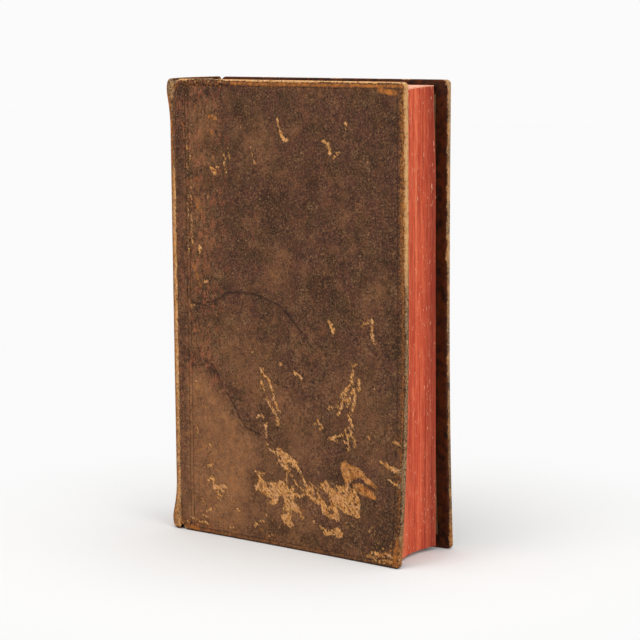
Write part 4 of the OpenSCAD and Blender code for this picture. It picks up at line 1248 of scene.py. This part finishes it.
class BookColours(bpy.types.PropertyGroup):
    """Colours of the leather, the paper, the thread and the floor."""
    purple_brown: colour_property("Purple Brown", "Cooler brown of the leather", 75, 46, 34)
    olive_brown: colour_property("Olive Brown", "Yellower brown of the leather", 70, 47, 29)
    red_brown: colour_property("Red Brown", "Redder smears near the joint", 136, 74, 50)
    light_brown: colour_property("Light Brown", "Leather where its glaze is thin", 104, 68, 44)
    warm_brown: colour_property("Warm Brown", "Leather of the lighter stretches", 142, 96, 62)
    dark_brown: colour_property("Dark Brown", "Leather of the darker stretches", 40, 24, 14)
    # The crack colour also serves as painted shade along the tail of the leather
    crack_and_shade: colour_property("Crack", "Cracks, pits and pressed lines", 32, 18, 12)
    grime: colour_property("Grime", "Soiled bare leather of the edges", 140, 116, 88)
    glaze: colour_property("Glaze", "Lighter grains of the leather", 136, 98, 67)
    fleck: colour_property("Fleck", "Fine light curls in the glaze", 178, 136, 96)
    tan: colour_property("Tan", "Bare leather in the worn patches", 204, 150, 92)
    tan_dark: colour_property("Dark Tan", "Darker bare leather", 158, 102, 52)
    tan_pink: colour_property("Pink Tan", "Paler bare leather", 198, 146, 108)
    # Crest is partly a painted highlight on the worn edges, most along the head
    crest: colour_property("Crest", "Palest leather along the worn edges", 216, 176, 128)
    rust: colour_property("Rust", "Rubbed leather, darker part", 122, 74, 38)
    orange: colour_property("Orange", "Rubbed leather, lighter part", 180, 108, 44)
    # Turned In also darkens the pastedown margins as painted shade
    turned_in: colour_property("Turned In", "Leather turned in over the boards", 78, 36, 14)
    red_edge: colour_property("Red Edge", "Stain on the leaf edges", 208, 86, 52)
    red_deep: colour_property("Deep Red", "Stain where it lies thick", 192, 70, 42)
    red_dark: colour_property("Dark Red", "Shade between the leaves", 118, 38, 24)
    # Pale red also paints light on the edges of the front leaves
    red_pale: colour_property("Pale Red", "Stain where it has worn thin", 238, 136, 92)
    paper_fleck: colour_property("Paper Fleck", "Bare paper on the leaf edges", 232, 178, 142)
    dust: colour_property("Dust", "Dusty stain at the head", 236, 172, 142)
    paper: colour_property("Paper", "Endpaper", 218, 199, 166)
    paper_aged: colour_property("Aged Paper", "Endpaper where it has darkened", 200, 172, 132)
    # Browned Paper also darkens the pastedown margins, partly as painted shade
    paper_brown: colour_property(
        "Browned Paper", "Endpaper beside the turned-in leather", 158, 122, 78)
    foxing: colour_property("Foxing", "Brown spots of the paper", 128, 86, 50)
    board: colour_property("Board", "Pasteboard", 150, 132, 104)
    board_dark: colour_property("Dark Board", "Darker layers of the pasteboard", 116, 98, 74)
    cord: colour_property("Cord", "Hemp of the cords", 190, 166, 124)
    cord_dark: colour_property("Dark Cord", "Hemp between the strands", 120, 96, 62)
    thread: colour_property("Thread", "Light endband thread", 206, 184, 142)
    thread_brown: colour_property("Brown Thread", "Dark endband thread", 138, 96, 62)
    floor: colour_property("Floor", "Studio floor", 232, 231, 229)


class Book(bpy.types.PropertyGroup):
    """Everything that a user would change."""
    sizes: PointerProperty(type=BookSizes)
    colours: PointerProperty(type=BookColours)


def shared(name, make):
    """The material of this name, made on first use."""
    return bpy.data.materials.get(name) or make(bpy.context.scene.book.colours)


class BOOK_OT_covers(bpy.types.Operator):
    """Makes the worn leather of both covers"""
    bl_idname = "book.covers"
    bl_label = "Cover Leather"

    def execute(self, context):
        material = shared("old_calf", leather_finish)
        for side in ("front", "back"):
            cover_skin(side, context.scene.book.sizes, material)
        return {"FINISHED"}


class BOOK_OT_spine(bpy.types.Operator):
    """Makes the leather of the spine with its caps"""
    bl_idname = "book.spine"
    bl_label = "Spine Leather"

    def execute(self, context):
        spine_skin(shared("old_calf", leather_finish))
        return {"FINISHED"}


class BOOK_OT_leaves(bpy.types.Operator):
    """Makes the leaves with their red edges"""
    bl_idname = "book.leaves"
    bl_label = "Leaves"

    def execute(self, context):
        leaves(
            context.scene.book.sizes, shared("red_leaf_edges", red_edge_finish),
            shared("aged_endpaper", paper_finish),
        )
        return {"FINISHED"}


class BOOK_OT_endbands(bpy.types.Operator):
    """Makes the wound endbands at head and tail"""
    bl_idname = "book.endbands"
    bl_label = "Endbands"

    def execute(self, context):
        thread = shared("band_thread", thread_finish)
        for node in ("head_band", "tail_band"):
            low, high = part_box(node)
            radius = (high.z - low.z) / 2 / MM
            middle = (low.z + high.z) / 2 / MM
            endband(f"{node}_thread", node, middle, radius, context.scene.book.sizes, thread)
        return {"FINISHED"}


class BOOK_OT_endpapers(bpy.types.Operator):
    """Makes the endpaper through both joints and finishes the pastedowns"""
    bl_idname = "book.endpapers"
    bl_label = "Endpapers"

    def execute(self, context):
        paper = shared("aged_endpaper", paper_finish)
        for side in ("front", "back"):
            joint_paper(side, paper)
            finish_node(f"{side}_pastedown", paper)
        return {"FINISHED"}


class BOOK_OT_inner_parts(bpy.types.Operator):
    """Finishes the boards, the cords, their laced ends and the spine lining"""
    bl_idname = "book.inner_parts"
    bl_label = "Boards and Sewing"

    def execute(self, context):
        board, cord = shared("pasteboard", board_finish), shared("hemp_cord", cord_finish)
        for side in ("front", "back"):
            finish_node(f"{side}_board", board)
            finish_node(f"{side}_slips", cord)
        for name in sorted(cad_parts):
            if name.startswith("sewing_cord_"):
                finish_node(name, cord)
        colours = context.scene.book.colours
        finish_node("spine_lining", paper_finish(colours, "lining_paper", burn_and_shade=False))
        return {"FINISHED"}


class BOOK_OT_studio(bpy.types.Operator):
    """Makes the floor, the lights, the white background and the camera"""
    bl_idname = "book.studio"
    bl_label = "Studio"

    def execute(self, context):
        x, y = FLOOR_HALF * np.array(((-1, -1), (1, 1))), FLOOR_HALF * np.array(((-1, 1), (-1, 1)))
        corners = np.stack((x, y, 0 * x + FLOOR_Z), -1).reshape(-1, 3)
        material = floor_finish(context.scene.book.colours)
        floor = make_piece("studio_floor", corners, [quads(np.arange(4).reshape(2, 2))], [material])
        for name, (at, size, power) in SOFT_BOXES.items():
            soft_light(name, at, size, power)
        world = bpy.data.worlds.new("studio")
        world.use_nodes = True
        sky = Nodes(world.node_tree)
        colour = sky.mix(sky.rays("Is Camera Ray", "Is Transmission Ray"), SKY_GREY, SKY_WHITE)
        sky.tree.links.new(colour, sky.tree.nodes["Background"].inputs["Color"])
        context.scene.world = world
        context.scene.view_settings.view_transform = "Standard"
        add_camera()
        return {"FINISHED"}


class BOOK_PT_panel(bpy.types.Panel):
    """Lists the pieces of the book in the sidebar"""
    bl_label = "Old Leather Book"
    bl_space_type = "VIEW_3D"
    bl_region_type = "UI"
    bl_category = "Book"

    def draw(self, context):
        book = context.scene.book
        for operator in OPERATORS:
            self.layout.operator(operator.bl_idname)
        for group in (book.sizes, book.colours):
            column = self.layout.column()
            for key in group.__annotations__:
                column.prop(group, key)


def finish_node(name, material):
    """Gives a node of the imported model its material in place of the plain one."""
    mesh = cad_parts[name].data
    mesh.materials.clear()
    mesh.materials.append(material)


OPERATORS = (
    BOOK_OT_covers, BOOK_OT_spine, BOOK_OT_leaves, BOOK_OT_endbands, BOOK_OT_endpapers,
    BOOK_OT_inner_parts, BOOK_OT_studio,
)
CLASSES = (BookSizes, BookColours, Book, *OPERATORS, BOOK_PT_panel)


def register():
    for cls in CLASSES:
        bpy.utils.register_class(cls)
    bpy.types.Scene.book = PointerProperty(type=Book)


def unregister():
    del bpy.types.Scene.book
    for cls in reversed(CLASSES):
        bpy.utils.unregister_class(cls)


def main():
    """Registers the add-on and makes every piece."""
    register()
    for operator in OPERATORS:
        getattr(bpy.ops.book, operator.bl_idname.split(".")[1])()


if __name__ == "__main__":
    main()
